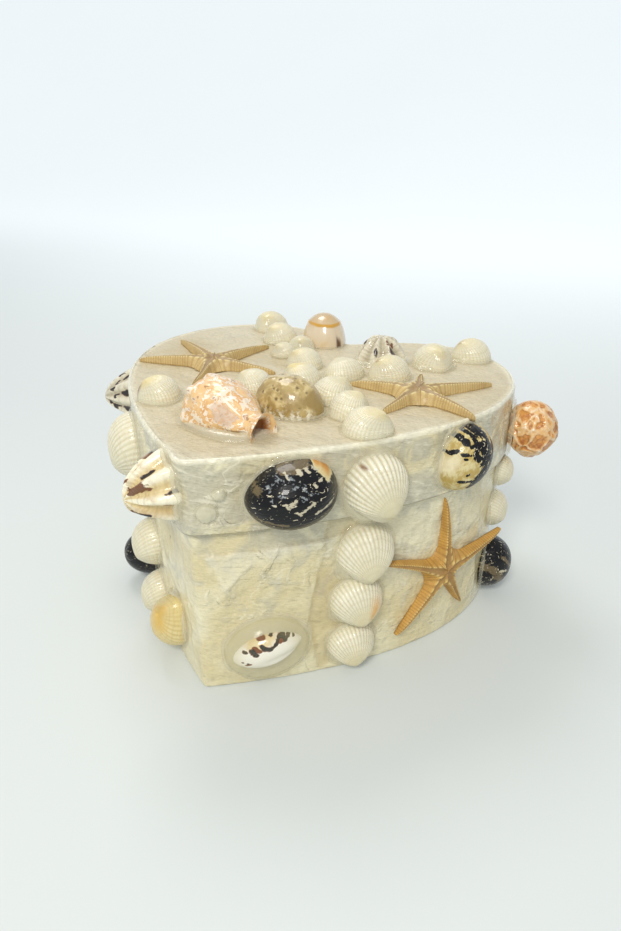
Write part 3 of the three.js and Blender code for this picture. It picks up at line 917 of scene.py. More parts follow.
class Wall:
    """A heart-shaped wall, `offset` millimetres outside the cavity, walked from the tip."""

    def __init__(self, offset: float) -> None:
        """Samples the wall's outline; its tip is an arc of radius `offset`."""
        points, normals = Heart().right_half()
        start, end = -pi / 2, atan2(normals[0].y, normals[0].x)
        arc = [Vector((cos(a), sin(a))) for a in [start] + span(start, end, 10)[:-1]]
        self.offset = offset
        self.normals = arc + normals
        self.points = [points[0] + offset * way for way in arc]
        self.points += [point + offset * way for point, way in zip(points, normals)]
        self.walked = [0.0]
        for before, after in zip(self.points, self.points[1:]):
            self.walked.append(self.walked[-1] + (after - before).length)

    def half(self) -> float:
        """Gives the way from the tip to the notch."""
        return self.walked[-1]

    def at(self, along: float) -> tuple[Vector, Vector]:
        """Finds a place on the outline.

        Args:
            along: Millimetres from the tip, positive on the +X side.

        Returns:
            The point and the outward normal there.
        """
        way = min(abs(along), self.walked[-1])
        i = min(bisect_right(self.walked, way), len(self.walked) - 1)
        share = (way - self.walked[i - 1]) / max(1e-9, self.walked[i] - self.walked[i - 1])
        point = self.points[i - 1].lerp(self.points[i], share)
        out = self.normals[i - 1].lerp(self.normals[i], share).normalized()
        mirror = Vector((-1, 1)) if along < 0 else Vector((1, 1))
        return point * mirror, out * mirror

    def seat(self, along: float, level: float, turn: float) -> Matrix:
        """Gives a place on the wall.

        Args:
            along: Millimetres from the tip, positive on the +X side.
            level: Height in millimetres.
            turn: Degrees from straight up, counterclockwise seen from outside.

        Returns:
            A frame in metres: local x across, y up the shell, z out of the wall.
        """
        point, out = self.at(along)
        normal = out.to_3d()
        up = Vector((0, 0, 1))
        axes = Matrix((up.cross(normal), up, normal)).transposed().to_4x4()
        place = Vector((point.x, point.y, level)) * MM
        return Matrix.Translation(place) @ axes @ Matrix.Rotation(radians(turn), 4, "Z")


GAP = 0.3
LID_TOP = LID_HIGH.z / MM
LID_FOOT = LID_LOW.z / MM
BODY_RIM = BODY_HIGH.z / MM
CEILING = BODY_RIM + GAP
FLOOR_TOP = 2.5
BODY_WALL = Wall(BODY_HIGH.x / MM - Heart.widest[0])
LID_WALL = Wall(LID_HIGH.x / MM - Heart.widest[0])
LID_SKIRT = 2.0
LID_INSIDE = LID_WALL.offset - LID_SKIRT


def top_seat(x: float, y: float, turn: float) -> Matrix:
    """Gives a place on the lid's top, turned `turn` degrees counterclockwise from +Y."""
    place = Vector((x, y, LID_TOP + GAP)) * MM
    return Matrix.Translation(place) @ Matrix.Rotation(radians(turn), 4, "Z")


@dataclass(frozen=True)
class Footprint:
    """The patch of a surface that a shell covers, in that surface's own two ways (millimetres)."""

    across: float
    up: float
    turn: float
    width: float
    length: float
    glue: float = 1.0

    def stain(self, across: float, up: float) -> float:
        """Tells how strongly the glue of this shell tints a place.

        Args:
            across: The place's way along the surface.
            up: The place's other way.

        Returns:
            0 to 1.
        """
        x, y = across - self.across, up - self.up
        if max(abs(x), abs(y)) > 0.8 * self.length + 2:
            return 0.0
        c, s = cos(radians(self.turn)), sin(radians(self.turn))
        reach = hypot(2 * (x * c + y * s) / self.width, 2 * (y * c - x * s) / self.length)
        patchy = 0.75 + 0.6 * noise.noise(Vector((across, up, self.width)) / 6)
        return self.glue * patchy * (1 - ease(reach, 0.97, 1.28))


@dataclass(frozen=True)
class Crease:
    """The edge of a pasted strip of paper: the wall stands proud on its left."""

    start: Point
    end: Point
    lift: float
    width: float = 0.9
    fade: float = 9.0

    def lift_at(self, along: float, level: float) -> float:
        """Gives the relief that this edge adds at a place, in millimetres."""
        x, y = along - self.start[0], level - self.start[1]
        dx, dy = self.end[0] - self.start[0], self.end[1] - self.start[1]
        length = hypot(dx, dy)
        way = (x * dx + y * dy) / length
        if way < -3 or way > length + 3:
            return 0.0
        side = (y * dx - x * dy) / length
        side += 0.8 * noise.noise(Vector((way / 7, self.lift * 9, 0)))
        inside = ease(way, -3, 1) * (1 - ease(way, length - 1, length + 3))
        step = 0.5 + 0.5 * tanh(side / self.width)
        return inside * self.lift * (step * exp(-max(0.0, side) / self.fade) + 0.6 * bell(side, self.width))


# ---- the box ---------------------------------------------------------------------------------


@dataclass
class PaperBox:
    """Body and lid: pasted paper on card, uneven by hand, hollow inside.

    Sizes are in millimetres.
    """

    finish: bpy.types.Material
    wall_prints: list[Footprint]
    top_prints: list[Footprint]
    around: int = 600
    edge: float = 1.3
    foot_edge: float = 0.8
    body_creases: tuple[Crease, ...] = (
        Crease((46, 54), (4, 53), 0.9, width=0.6),
        Crease((5, 55), (9, 41), 0.7, width=0.6, fade=4),
        Crease((9, 41), (17, 49), 0.6, width=0.6, fade=4),
        Crease((43, 60), (36, 20), -0.7, fade=12),
        Crease((36, 20), (40, 2), -0.6, fade=10),
        Crease((70, 4), (64, 40), 0.35, fade=10),
        Crease((112, 8), (106, 58), 0.4, fade=8),
        Crease((-8, 60), (-6, 6), 0.35, fade=6),
        Crease((-30, 4), (-36, 58), 0.4, fade=10),
        Crease((150, 5), (158, 60), 0.35, fade=10),
        Crease((-120, 60), (-112, 5), 0.35, fade=10),
        Crease((-190, 10), (-182, 60), 0.35, fade=10),
    )
    lid_creases: tuple[Crease, ...] = (
        Crease((32, 66), (2, 65.5), 0.8, width=0.6, fade=3),
        Crease((48, 79), (46, 63), 0.3, fade=5),
        Crease((70, 84), (84, 68), 0.35, fade=6),
        Crease((112, 64), (106, 84), 0.35, fade=7),
        Crease((-30, 63), (-26, 84), 0.35, fade=7),
        Crease((-140, 84), (-146, 64), 0.35, fade=7),
    )

    def swell(self, place: Vector, along: float, level: float, creases: Sequence[Crease]) -> float:
        """Gives a wall's unevenness, in millimetres."""
        lump = 0.34 * noise.noise(place / 24) + 0.2 * noise.noise(place / 9) + 0.07 * noise.noise(place / 3.2)
        return lump - 0.1 + sum(crease.lift_at(along, level) for crease in creases)

    def skin(self, wall: Wall, rows: Sequence[tuple[float, float, float, float]],
             creases: Sequence[Crease]) -> bmesh.types.BMesh:
        """Makes a heart-shaped vessel from the outline of its wall's section.

        Args:
            wall: The outer wall.
            rows: Offset, height, how much of the outline is left (0 is the hub) and the share
                of the unevenness, for each row of the section.
            creases: The pasted edges on the outer wall.

        Returns:
            The closed mesh.
        """
        skin = Skin("wall", "wear")
        turns = [wall.half() * 2 * i / self.around for i in range(self.around)]
        ways = [way if way <= wall.half() else way - 2 * wall.half() for way in turns]
        outline = [wall.at(way) for way in ways]
        near = [[p for p in self.wall_prints if abs(way - p.across) < p.length] for way in ways]
        hub = Vector(Heart.hub)

        def shape(row: int, step: int) -> Spot:
            """Places one vertex of the vessel."""
            offset, level, left, uneven = rows[row]
            point, out = outline[step]
            flat = hub.lerp(point + (offset - wall.offset) * out, left)
            place = Vector((flat.x, flat.y, level))
            on_top = uneven > 0 and left < 0.999
            stain = 0.0
            lift = 0.0
            if uneven > 0 and not on_top:
                lift = uneven * self.swell(place, ways[step], level, creases)
                place += Vector((out.x, out.y, 0)) * lift
                stain = max((p.stain(ways[step], level) for p in near[step]), default=0.0)
            elif on_top:
                lift = uneven * (0.4 * noise.noise(place / 26) + 0.12 * noise.noise(place / 8) - 0.15)
                place.z += lift
                stain = 0.6 * max((p.stain(flat.x, flat.y) for p in self.top_prints), default=0.0)
            # closeness to the lid's rounded top edge, which the finish paints as a highlight
            rim = ease(level, LID_TOP - 2.4, LID_TOP - 0.6) * ease(left, 0.965, 0.992)
            wear = (max(0.0, min(1.0, stain)), rim, lift)
            top = 1.0 if on_top and level > LID_TOP - 1 else 0.0
            carried = {"wall": (ways[step] * MM, level * MM, top), "wear": wear}
            return Spot(place * MM, carried)

        skin.add(len(rows), self.around, shape)
        return skin.closed()

    def body_rows(self) -> list[tuple[float, float, float, float]]:
        """Lists the body's section from under its floor, up the wall and back to its floor."""
        out, foot = BODY_WALL.offset, self.foot_edge
        rows = [(out - foot, 0.0, left, 0.0) for left in (0.0, 0.4, 0.8, 1.0)]
        rows += [(out - foot * (1 - sin(a)), foot * (1 - cos(a)), 1.0, sin(a)) for a in (pi / 6, pi / 3, pi / 2)]
        rows += [(out, level, 1.0, 1.0) for level in span(foot, LID_FOOT + 2, 86)]
        rows += [(out, level, 1.0, 0.1) for level in span(LID_FOOT + 2, BODY_RIM - 0.6, 8)]
        rows += [(out - 0.6, BODY_RIM, 1.0, 0.0), (0.6, BODY_RIM, 1.0, 0.0), (0.0, BODY_RIM - 0.6, 1.0, 0.0)]
        rows += [(0.0, level, 1.0, 0.0) for level in span(BODY_RIM - 0.6, FLOOR_TOP, 6)]
        return rows + [(0.0, FLOOR_TOP, left, 0.0) for left in (0.8, 0.4, 0.0)]

    def lid_rows(self) -> list[tuple[float, float, float, float]]:
        """Lists the lid's section from the middle of its top, down the wall and up inside."""
        out, foot, edge = LID_WALL.offset, self.foot_edge, self.edge
        rows = [(out - edge, LID_TOP, left, 1.0) for left in [0.0] + span(0.0, 0.998, 64)]
        arc = [a * pi / 12 for a in range(7)]
        rows += [(out - edge * (1 - sin(a)), LID_TOP - edge * (1 - cos(a)), 1.0, sin(a)) for a in arc]
        rows += [(out, level, 1.0, 1.0) for level in span(LID_TOP - edge, LID_FOOT + foot, 30)]
        rows += [(out - foot * (1 - cos(a)), LID_FOOT + foot * (1 - sin(a)), 1.0, 0.8) for a in (pi / 4, pi / 2)]
        rows += [(LID_INSIDE + 0.3, LID_FOOT, 1.0, 0.0), (LID_INSIDE, LID_FOOT + 0.3, 1.0, 0.0)]
        rows += [(LID_INSIDE, level, 1.0, 0.0) for level in span(LID_FOOT + 0.3, CEILING, 4)]
        return rows + [(LID_INSIDE, CEILING, left, 0.0) for left in (0.8, 0.4, 0.0)]

    def build(self) -> None:
        """Makes the body and the lid."""
        body = self.skin(BODY_WALL, self.body_rows(), self.body_creases)
        set_piece("pearl_body", body, self.finish, ["box_body"])
        lid = self.skin(LID_WALL, self.lid_rows(), self.lid_creases)
        set_piece("pearl_lid", lid, self.finish, ["lid"])


# ---- shells ----------------------------------------------------------------------------------


@dataclass
class Shell:
    """A domed shell, or half of one, glued down by its mouth. Sizes are in millimetres.

    Attributes:
        node: The CAD node that it stands for.
        seat: Its place; local y points from its crown end to its margin.
        finish: Its material.
        slot: The record's slot for it; not used.
        sink: How deep its edge goes into the wall.
    """

    node: str
    seat: Matrix
    width: float
    length: float
    height: float
    finish: bpy.types.Material
    slot: Slot
    sink: float = 1.4
    around: int = 96
    levels: int = 22
    dark: tuple[Stroke, ...] = ()
    light: tuple[Stroke, ...] = ()
    hazy: tuple[Stroke, ...] = ()

    def pole(self) -> Point:
        """Gives the point that the growth starts from."""
        return 0.0, 0.0

    def rim(self, angle: float) -> Point:
        """Gives the margin's point at an angle."""
        return self.width / 2 * cos(angle), self.length / 2 * sin(angle)

    def rib(self, angle: float) -> float:
        """Gives the ribbing at an angle, -1 in a groove to 1 on a rib."""
        return 0.0

    def rise(self, x: float, y: float, grown: float, angle: float) -> float:
        """Gives the height of the shell over its seat."""
        raise NotImplementedError

    def marks(self, x: float, y: float, grown: float, angle: float) -> tuple[float, float, float]:
        """Gives what a vertex carries as `mark`."""
        return 0.0, 0.0, 0.0

    def growth(self, x: float, y: float, grown: float, angle: float) -> tuple[float, float, float]:
        """Gives what a vertex carries as `grow`."""
        return grown, self.rib(angle), 0.0

    def reach(self, x: float, y: float, grown: float, angle: float) -> float:
        """Gives the way from the middle, 1 on the whole margin."""
        rim_x, rim_y = self.rim(angle)
        edge = hypot(2 * rim_x / self.width, 2 * rim_y / self.length)
        return min(1.0, hypot(2 * x / self.width, 2 * y / self.length) / (1 + (edge - 1) * grown))

    def bulge(self, reach: float, fullness: float) -> float:
        """Gives a full dome's height at a reach from its middle."""
        return max(0.0, 1 - reach ** 2.2) ** fullness

    def spot(self, row: int, step: int) -> Spot:
        """Places one vertex: rows run from the pole to the margin, under it and back."""
        angle = tau * step / self.around
        pole_x, pole_y = self.pole()
        grown = sin(pi / 2 * min(1.0, row / self.levels)) ** 1.2
        if row == self.levels + 2:
            grown = 0.0
        rim_x, rim_y = self.rim(angle)
        x, y = pole_x + (rim_x - pole_x) * grown, pole_y + (rim_y - pole_y) * grown
        height = self.rise(x, y, grown, angle) if row <= self.levels else -self.sink
        carried = {
            "place": (2 * x / self.width, 2 * y / self.length, max(0.0, height) / self.height),
            "grow": self.growth(x, y, grown, angle),
            "mark": self.marks(x, y, grown, angle),
        }
        return Spot(self.seat @ (Vector((x, y, height)) * MM), carried)

    def build(self) -> None:
        """Makes the shell."""
        skin = Skin("place", "grow", "mark")
        skin.add(self.levels + 3, self.around, self.spot)
        set_piece("shell_" + self.node, skin.closed(), self.finish, [self.node])


@dataclass
class Cockle(Shell):
    """Cockle valve: fine ribs fan out from the umbo at -y to a toothed margin.

    `ridge` is the ribs' height as a share of the width; `smooth` is how far from the umbo they fade.
    """

    ribs: int = 36
    ridge: float = 0.0035
    taper: float = 0.26
    smooth: float = 0.35
    lean: float = 0.0
    yellow: float = 0.5
    stained: float = 0.0
    orange: float = 0.0

    def __post_init__(self) -> None:
        """Gives every rib six steps of the mesh."""
        self.around = 6 * self.ribs

    def pole(self) -> Point:
        """Gives the umbo."""
        return self.lean * self.width, -0.36 * self.length

    def rib(self, angle: float) -> float:
        """Gives rounded ribs with narrow grooves, fading toward the hinge."""
        wave = cos(self.ribs * angle)
        full = 1 - (0.5 - 0.5 * wave) ** 1.8 * 2
        return full * (0.25 + 0.75 * ease(sin(angle), -1.0, -0.55))

    def rim(self, angle: float) -> Point:
        """Gives the toothed margin."""
        flare = 1 + 0.05 * sin(angle)
        narrow = 1 - self.taper * max(0.0, -sin(angle)) ** 1.2
        tooth = 1 + 1.2 * self.ridge * self.rib(angle)
        return self.width / 2 * cos(angle) * narrow * flare * tooth, self.length / 2 * sin(angle) * (2 - flare) * tooth

    def rise(self, x: float, y: float, grown: float, angle: float) -> float:
        """Gives the full dome, its beak, ribs and growth steps."""
        umbo_x, umbo_y = self.pole()
        dome = self.bulge(self.reach(x, y, grown, angle), 0.55)
        beak = 0.1 * exp(-(hypot(x - umbo_x, y - umbo_y) ** 2) / (0.03 * self.length ** 2))
        full = ease(grown, 0.3 * self.smooth, self.smooth + 0.25) * (0.75 + 0.5 * grown ** 3)
        ribs = self.ridge * self.width * self.rib(angle) * full
        steps = 0.012 * (ease(grown, 0.6, 0.64) + ease(grown, 0.84, 0.87))
        return self.height * (dome + beak - steps * (1 - grown)) + ribs

    def marks(self, x: float, y: float, grown: float, angle: float) -> tuple[float, float, float]:
        """Stains the umbo and tints one flank."""
        umbo = max(self.stained * (1 - ease(grown, 0.02, 0.2)), ink(self.dark, 2 * x / self.width, 2 * y / self.length))
        flank = self.orange * bell(angle - 0.5, 0.45) * ease(grown, 0.1, 0.4) * (1 - ease(grown, 0.5, 0.95))
        return umbo, flank, 0.0

    def growth(self, x: float, y: float, grown: float, angle: float) -> tuple[float, float, float]:
        """Carries the rib, faded at the umbo, and how yellow the crown is."""
        shown = min(1.0, 80 * self.ridge) * ease(grown, 0.3 * self.smooth, self.smooth + 0.3)
        return grown, self.rib(angle) * shown, self.yellow


@dataclass
class Limpet(Shell):
    """Limpet: a cone whose strong ribs end in points."""

    ribs: int = 9
    spikes: float = 0.1
    blunt: float = 1.5
    lumps: float = 0.0
    tanned: float = 0.0
    around: int = 162
    levels: int = 40

    def pole(self) -> Point:
        """Gives the apex."""
        return 0.0, -0.08 * self.length

    def rib(self, angle: float) -> float:
        """Gives rounded ribs with wide hollows between."""
        return 2 * (0.5 + 0.5 * cos(self.ribs * angle)) ** 1.4 - 1

    def rim(self, angle: float) -> Point:
        """Gives the margin with its points."""
        pull = 1 - self.spikes * (1 - cos(self.ribs * angle)) * 0.5
        return self.width / 2 * cos(angle) * pull, self.length / 2 * sin(angle) * pull

    def rise(self, x: float, y: float, grown: float, angle: float) -> float:
        """Gives the cone with its ribs and growth steps."""
        cone = (1 - grown ** self.blunt) ** 0.85 if grown < 1 else 0.0
        ribs = 0.5 * self.spikes * self.rib(angle) * ease(grown, 0.05, 0.5) * (1 - grown) ** 0.3
        fine = 0.01 * cos(4 * self.ribs * angle) * grown * (1 - grown)
        lump = (0.02 + self.lumps) * noise.noise(Vector((x, y, 3.0)) / 2.6) * (1 - grown)
        return self.height * (cone + ribs + fine + lump)

    def marks(self, x: float, y: float, grown: float, angle: float) -> tuple[float, float, float]:
        """Carries the black marks, the brown blotches and the pale points of the ribs."""
        place = 2 * x / self.width, 2 * y / self.length
        return ink(self.dark, *place), ink(self.hazy, *place), self.rib(angle) * ease(grown, 0.75, 0.95)

    def growth(self, x: float, y: float, grown: float, angle: float) -> tuple[float, float, float]:
        """Carries the tan of the underside."""
        return grown, self.rib(angle), self.tanned * ease(-y / self.length, 0.08, 0.2)


@dataclass
class Nerite(Shell):
    """Nerite: the smooth globe of a last whorl with a low spire to one side at -y.

    `tanned` is how much tan ground shows under the dark strokes; `orange` is a spot's place.
    """

    tanned: float = 0.0
    scatter: float = 0.6
    flank: tuple[Stroke, ...] = ()
    orange: tuple[Stroke, ...] = ()
    worn: float = 0.0
    levels: int = 30

    def rim(self, angle: float) -> Point:
        """Gives an egg, blunter at +y."""
        egg = 1 - 0.1 * sin(angle) * abs(sin(angle))
        return self.width / 2 * cos(angle) * egg, self.length / 2 * sin(angle)

    def spire(self) -> Point:
        """Gives the spire's place."""
        return 0.12 * self.width, -0.3 * self.length

    def rise(self, x: float, y: float, grown: float, angle: float) -> float:
        """Gives the globe, its spire, the suture round it and any wear."""
        away = hypot(x - self.spire()[0], y - self.spire()[1]) / self.length
        knob = 0.07 * exp(-(away ** 2) / 0.012)
        suture = 0.025 * bell(away - 0.17, 0.02)
        worn = self.worn * noise.noise(Vector((x, y, 1.0)) / 3.1) * (1 - grown)
        full = self.bulge(self.reach(x, y, grown, angle), 0.5)
        return self.height * (full + (knob - suture) * (1 - grown) ** 0.2 + worn)

    def marks(self, x: float, y: float, grown: float, angle: float) -> tuple[float, float, float]:
        """Carries the cream marks, the painted reflection of the sky and the orange spot."""
        place = 2 * x / self.width, 2 * y / self.length
        return ink(self.light, *place), ink(self.hazy, *place), ink(self.orange, *place)

    def growth(self, x: float, y: float, grown: float, angle: float) -> tuple[float, float, float]:
        """Carries the tan ground, the scattered dashes and the tan flank."""
        place = 2 * x / self.width, 2 * y / self.length
        return self.tanned * (1 - ink(self.dark, *place)), self.scatter, ink(self.flank, *place)


@dataclass
class Cowry(Shell):
    """Ring cowry: an egg with a low ridge round its back and a notch at its +y end."""

    levels: int = 30

    def rim(self, angle: float) -> Point:
        """Gives the oval."""
        return self.width / 2 * cos(angle), self.length / 2 * sin(angle)

    def rise(self, x: float, y: float, grown: float, angle: float) -> float:
        """Gives the egg with its ridge."""
        ridge = 0.03 * bell(hypot(x / self.width, y / self.length) - 0.37, 0.04)
        groove = 0.12 * bell(angle - 0.62 * pi, 0.12) * ease(grown, 0.75, 0.95)
        return self.height * max(0.0, self.bulge(self.reach(x, y, grown, angle), 0.5) + ridge - groove) * (grown < 1)


@dataclass
class Drop(Shell):
    """A low clear drop with a soft rim."""

    levels: int = 24

    def rise(self, x: float, y: float, grown: float, angle: float) -> float:
        """Gives the drop's dome."""
        return self.height * (1 - grown ** 2.4) ** 0.7 if grown < 1 else 0.0


@dataclass
class Spindle:
    """A whole shell lying along local y: radius by length, shaped by its swelling.

    Sizes are in millimetres. `profile` holds shares of the half width and the length.
    """

    node: str
    seat: Matrix
    width: float
    length: float
    height: float
    finish: bpy.types.Material
    slot: Slot
    around: int = 120
    rows: int = 90
    profile: tuple[Point, ...] = ()

    def radius(self, share: float) -> Point:
        """Gives the radius and the place along the axis at a share of the profile."""
        knots = self.profile
        place = share * (len(knots) - 1)
        i = min(int(place), len(knots) - 2)
        before, start = knots[max(i - 1, 0)], knots[i]
        end, after = knots[i + 1], knots[min(i + 2, len(knots) - 1)]
        t = place - i
        smooth = [
            0.5 * (2 * b + (c - a) * t + (2 * a - 5 * b + 4 * c - d) * t ** 2 + (3 * b - a - 3 * c + d) * t ** 3)
            for a, b, c, d in zip(before, start, end, after)
        ]
        return max(0.0, smooth[0]) * self.width / 2, smooth[1] * self.length

    def swell(self, angle: float, share: float) -> tuple[float, float]:
        """Gives the swelling of the radius and the knob, -1 to 1."""
        raise NotImplementedError

    def marks(self, angle: float, share: float) -> tuple[float, float, float]:
        """Gives what a vertex carries as `mark`."""
        return 0.0, 0.0, 0.0

    def net(self) -> float:
        """Tells whether the shell wears a pale net."""
        return 0.0

    def spot(self, row: int, step: int) -> Spot:
        """Places one vertex of the spindle."""
        share, angle = row / (self.rows - 1), tau * step / self.around
        radius, along = self.radius(share)
        swell, knob = self.swell(angle, share)
        lift = self.height - self.width / 2
        x, z = radius * swell * cos(angle), lift + radius * swell * sin(angle)
        carried = {
            "place": (cos(angle), 2 * along / self.length, sin(angle)),
            "grow": (share, knob, self.net()),
            "mark": self.marks(angle, share),
        }
        return Spot(self.seat @ (Vector((x, along, z)) * MM), carried)

    def build(self) -> None:
        """Makes the shell."""
        skin = Skin("place", "grow", "mark")
        skin.add(self.rows, self.around, self.spot)
        set_piece("shell_" + self.node, skin.closed(), self.finish, [self.node])


@dataclass
class Conch(Spindle):
    """Conch: a stepped spire at -y, a knobbed shoulder and a canal that flares open at +y."""

    profile: tuple[Point, ...] = (
        (0, -0.5), (0.13, -0.485), (0.24, -0.46), (0.26, -0.44), (0.4, -0.41), (0.44, -0.385),
        (0.66, -0.35), (0.72, -0.32), (0.94, -0.25), (1.0, -0.16), (0.98, -0.05), (0.9, 0.06),
        (0.76, 0.16), (0.6, 0.26), (0.46, 0.34), (0.4, 0.4), (0.43, 0.45), (0.5, 0.5),
        (0.46, 0.495), (0.3, 0.46), (0.16, 0.4), (0, 0.38),
    )
    around: int = 180
    rows: int = 170

    def swell(self, angle: float, share: float) -> tuple[float, float]:
        """Gives knobs on the shoulder and the spire, spiral cords, lip and worn surface."""
        shoulder = bell(share - 0.4, 0.05)
        spire = bell(share - 0.25, 0.04)
        knob = max(0.0, cos(7 * angle + 0.6)) ** 1.5
        knobs = 0.12 * knob * shoulder + 0.08 * max(0.0, cos(8 * angle)) * spire
        groove = -0.1 * bell(share - 0.3 - 0.015 * cos(angle + 0.5), 0.012)
        cords = 0.012 * cos(share * 95) * ease(share, 0.42, 0.5) * (1 - ease(share, 0.74, 0.8))
        lip = 0.2 * max(0.0, cos(angle - pi)) ** 2 * bell(share - 0.5, 0.12)
        flare = 0.28 * bell(angle - 0.1, 0.4) * bell(share - 0.66, 0.05)
        way = Vector((cos(angle) * 2.2, sin(angle) * 2.2, share * 11))
        ragged = 0.06 * noise.noise(way) + 0.035 * noise.noise(way * 2.6) * (1 - ease(share, 0.6, 0.7))
        mouth = 0.1 * cos(3 * angle + 1) * ease(share, 0.76, 0.82)
        return 1 + knobs + groove + cords + lip + flare + ragged + mouth, knob * (shoulder + spire)

    def marks(self, angle: float, share: float) -> tuple[float, float, float]:
        """Wears a rosy patch on the back, draws a white streak and darkens the canal."""
        place = 2 * self.radius(share)[1] / self.length
        worn = bell(angle - 0.55, 0.42) * bell(place - 0.42, 0.26)
        line = place - 0.4 + 1.6 * (angle - 1.0)
        streak = bell(line, 0.1) * bell(place - 0.4, 0.32)
        return worn * 1.2, streak, ease(share, 0.87, 0.93)

    def net(self) -> float:
        """Is mottled all over."""
        return 0.0


@dataclass
class Drupe(Spindle):
    """Drupe: a stubby whorl whose orange hollows lie in a raised pale net."""

    profile: tuple[Point, ...] = (
        (0, -0.5), (0.28, -0.47), (0.45, -0.42), (0.64, -0.34), (0.8, -0.25), (0.93, -0.14),
        (1.0, -0.02), (0.96, 0.12), (0.86, 0.24), (0.7, 0.34), (0.5, 0.42), (0.24, 0.48), (0, 0.5),
    )
    around: int = 180
    rows: int = 130
    cell: float = 4.6

    def swell(self, angle: float, share: float) -> tuple[float, float]:
        """Gives an uneven net of ridges round sunk hollows, and a few knobs."""
        radius, along = self.radius(share)
        place = Vector((radius * cos(angle), along * 0.8, radius * sin(angle))) / self.cell
        place += 0.55 * noise.noise_vector(place * 0.9) + 0.12 * noise.noise_vector(place * 4)
        near = noise.voronoi(place)[0]
        ridge = 1 - ease(near[1] - near[0], 0.05, 0.34)
        knob = bell(near[0], 0.25) * max(0.0, noise.noise(place * 0.7 + Vector((5, 1, 2))))
        ragged = 0.07 * noise.noise(place * 0.9) + 0.02 * noise.noise(place * 5)
        fade = ease(share, 0.02, 0.15) * (1 - ease(share, 0.85, 0.98))
        return 0.93 + (0.09 * ridge + 0.42 * knob + ragged) * fade, 1.6 * ridge - 0.8

    def marks(self, angle: float, share: float) -> tuple[float, float, float]:
        """Darkens the nodule that stands out of the wall."""
        out = bell(angle - pi / 2, 0.34) * bell(share - 0.55, 0.09)
        return 0.0, 0.0, 0.9 * out

    def net(self) -> float:
        """Wears a pale net."""
        return 1.0


@dataclass
class Starfish:
    """Dried starfish: tapering arms with upright striped sides, beaded rims and a sunk top.

    Sizes are in millimetres; each arm is its direction in degrees and its length.
    """

    node: str
    seat: Matrix
    root: float
    arms: tuple[Point, ...]
    finish: bpy.types.Material
    height: float = 4.5
    sink: float = 1.0
    plate: float = 1.05
    top_steps: int = 34
    base_steps: int = 6

    def section(self, step: int) -> tuple[float, bool]:
        """Gives the place across the arm, -1 to 1, and whether it is on the base."""
        if step <= self.top_steps:
            return sin(pi / 2 * (1 - 2 * step / self.top_steps)), False
        return -1 + 2 * (step - self.top_steps) / self.base_steps, True

    def arm(self, skin: Skin, index: int) -> None:
        """Adds one arm and its share of the disc.

        Args:
            skin: The skin that it is added to.
            index: Which arm.
        """
        direction, length = self.arms[index]
        before = self.arms[index - 1][0]
        after = self.arms[(index + 1) % len(self.arms)][0]
        right = radians(direction - ((direction - before) % 360) / 2)
        left = radians(direction + ((after - direction) % 360) / 2)
        way = radians(direction)
        rows = int(length / self.plate * 4)

        def shape(row: int, step: int) -> Spot:
            """Places one vertex of the arm."""
            across, based = self.section(step)
            share = row / (rows - 1)
            edge = left if across > 0 else right
            web = Vector((cos(edge), sin(edge))) * 1.1 * self.root * abs(across)
            along = 0.9 * self.root + (length - 0.9 * self.root) * share
            t = along / length * ease(share, 0.0, 0.05)
            tip = max(0.0, 1 - share ** 9) ** 0.6
            half = 0.41 * self.root * (1 - 0.8 * t) * tip
            side, rim = ease(abs(across), 0.4, 0.55), bell(abs(across) - 0.43, 0.09)
            bead = 0.5 + 0.5 * cos(tau * along / self.plate)
            sway = 0.6 * sin(pi * share) * sin(direction)
            straight = Vector((along, across * half + sway + across * side * 0.12 * (bead - 0.5) * tip))
            turned = Vector((straight.x * cos(way) - straight.y * sin(way),
                             straight.x * sin(way) + straight.y * cos(way)))
            flat = web.lerp(turned, ease(share, 0.0, 0.16))
            top = self.height * (1 - 0.68 * t) * (0.3 + 0.7 * tip)
            dip = 0.86 + 0.14 * ease(abs(across), 0.05, 0.4)
            fall = max(0.0, 1 - max(0.0, (abs(across) - 0.42) / 0.58) ** 1.5)
            dust = 0.12 * noise.noise(Vector((flat.x, flat.y, 2.0)) * 1.3) * (1 - side)
            height = top * dip * fall + 0.2 * bead * rim * tip + dust
            if based:
                height = -self.sink
            carried = {"grow": (bead * (1 - based), side, rim)}
            return Spot(self.seat @ (Vector((flat.x, flat.y, height)) * MM), carried)

        skin.add(rows, self.top_steps + self.base_steps, shape)

    def build(self) -> None:
        """Makes the starfish."""
        skin = Skin("grow")
        for index in range(len(self.arms)):
            self.arm(skin, index)
        set_piece("dried_" + self.node, skin.closed(), self.finish, [self.node])


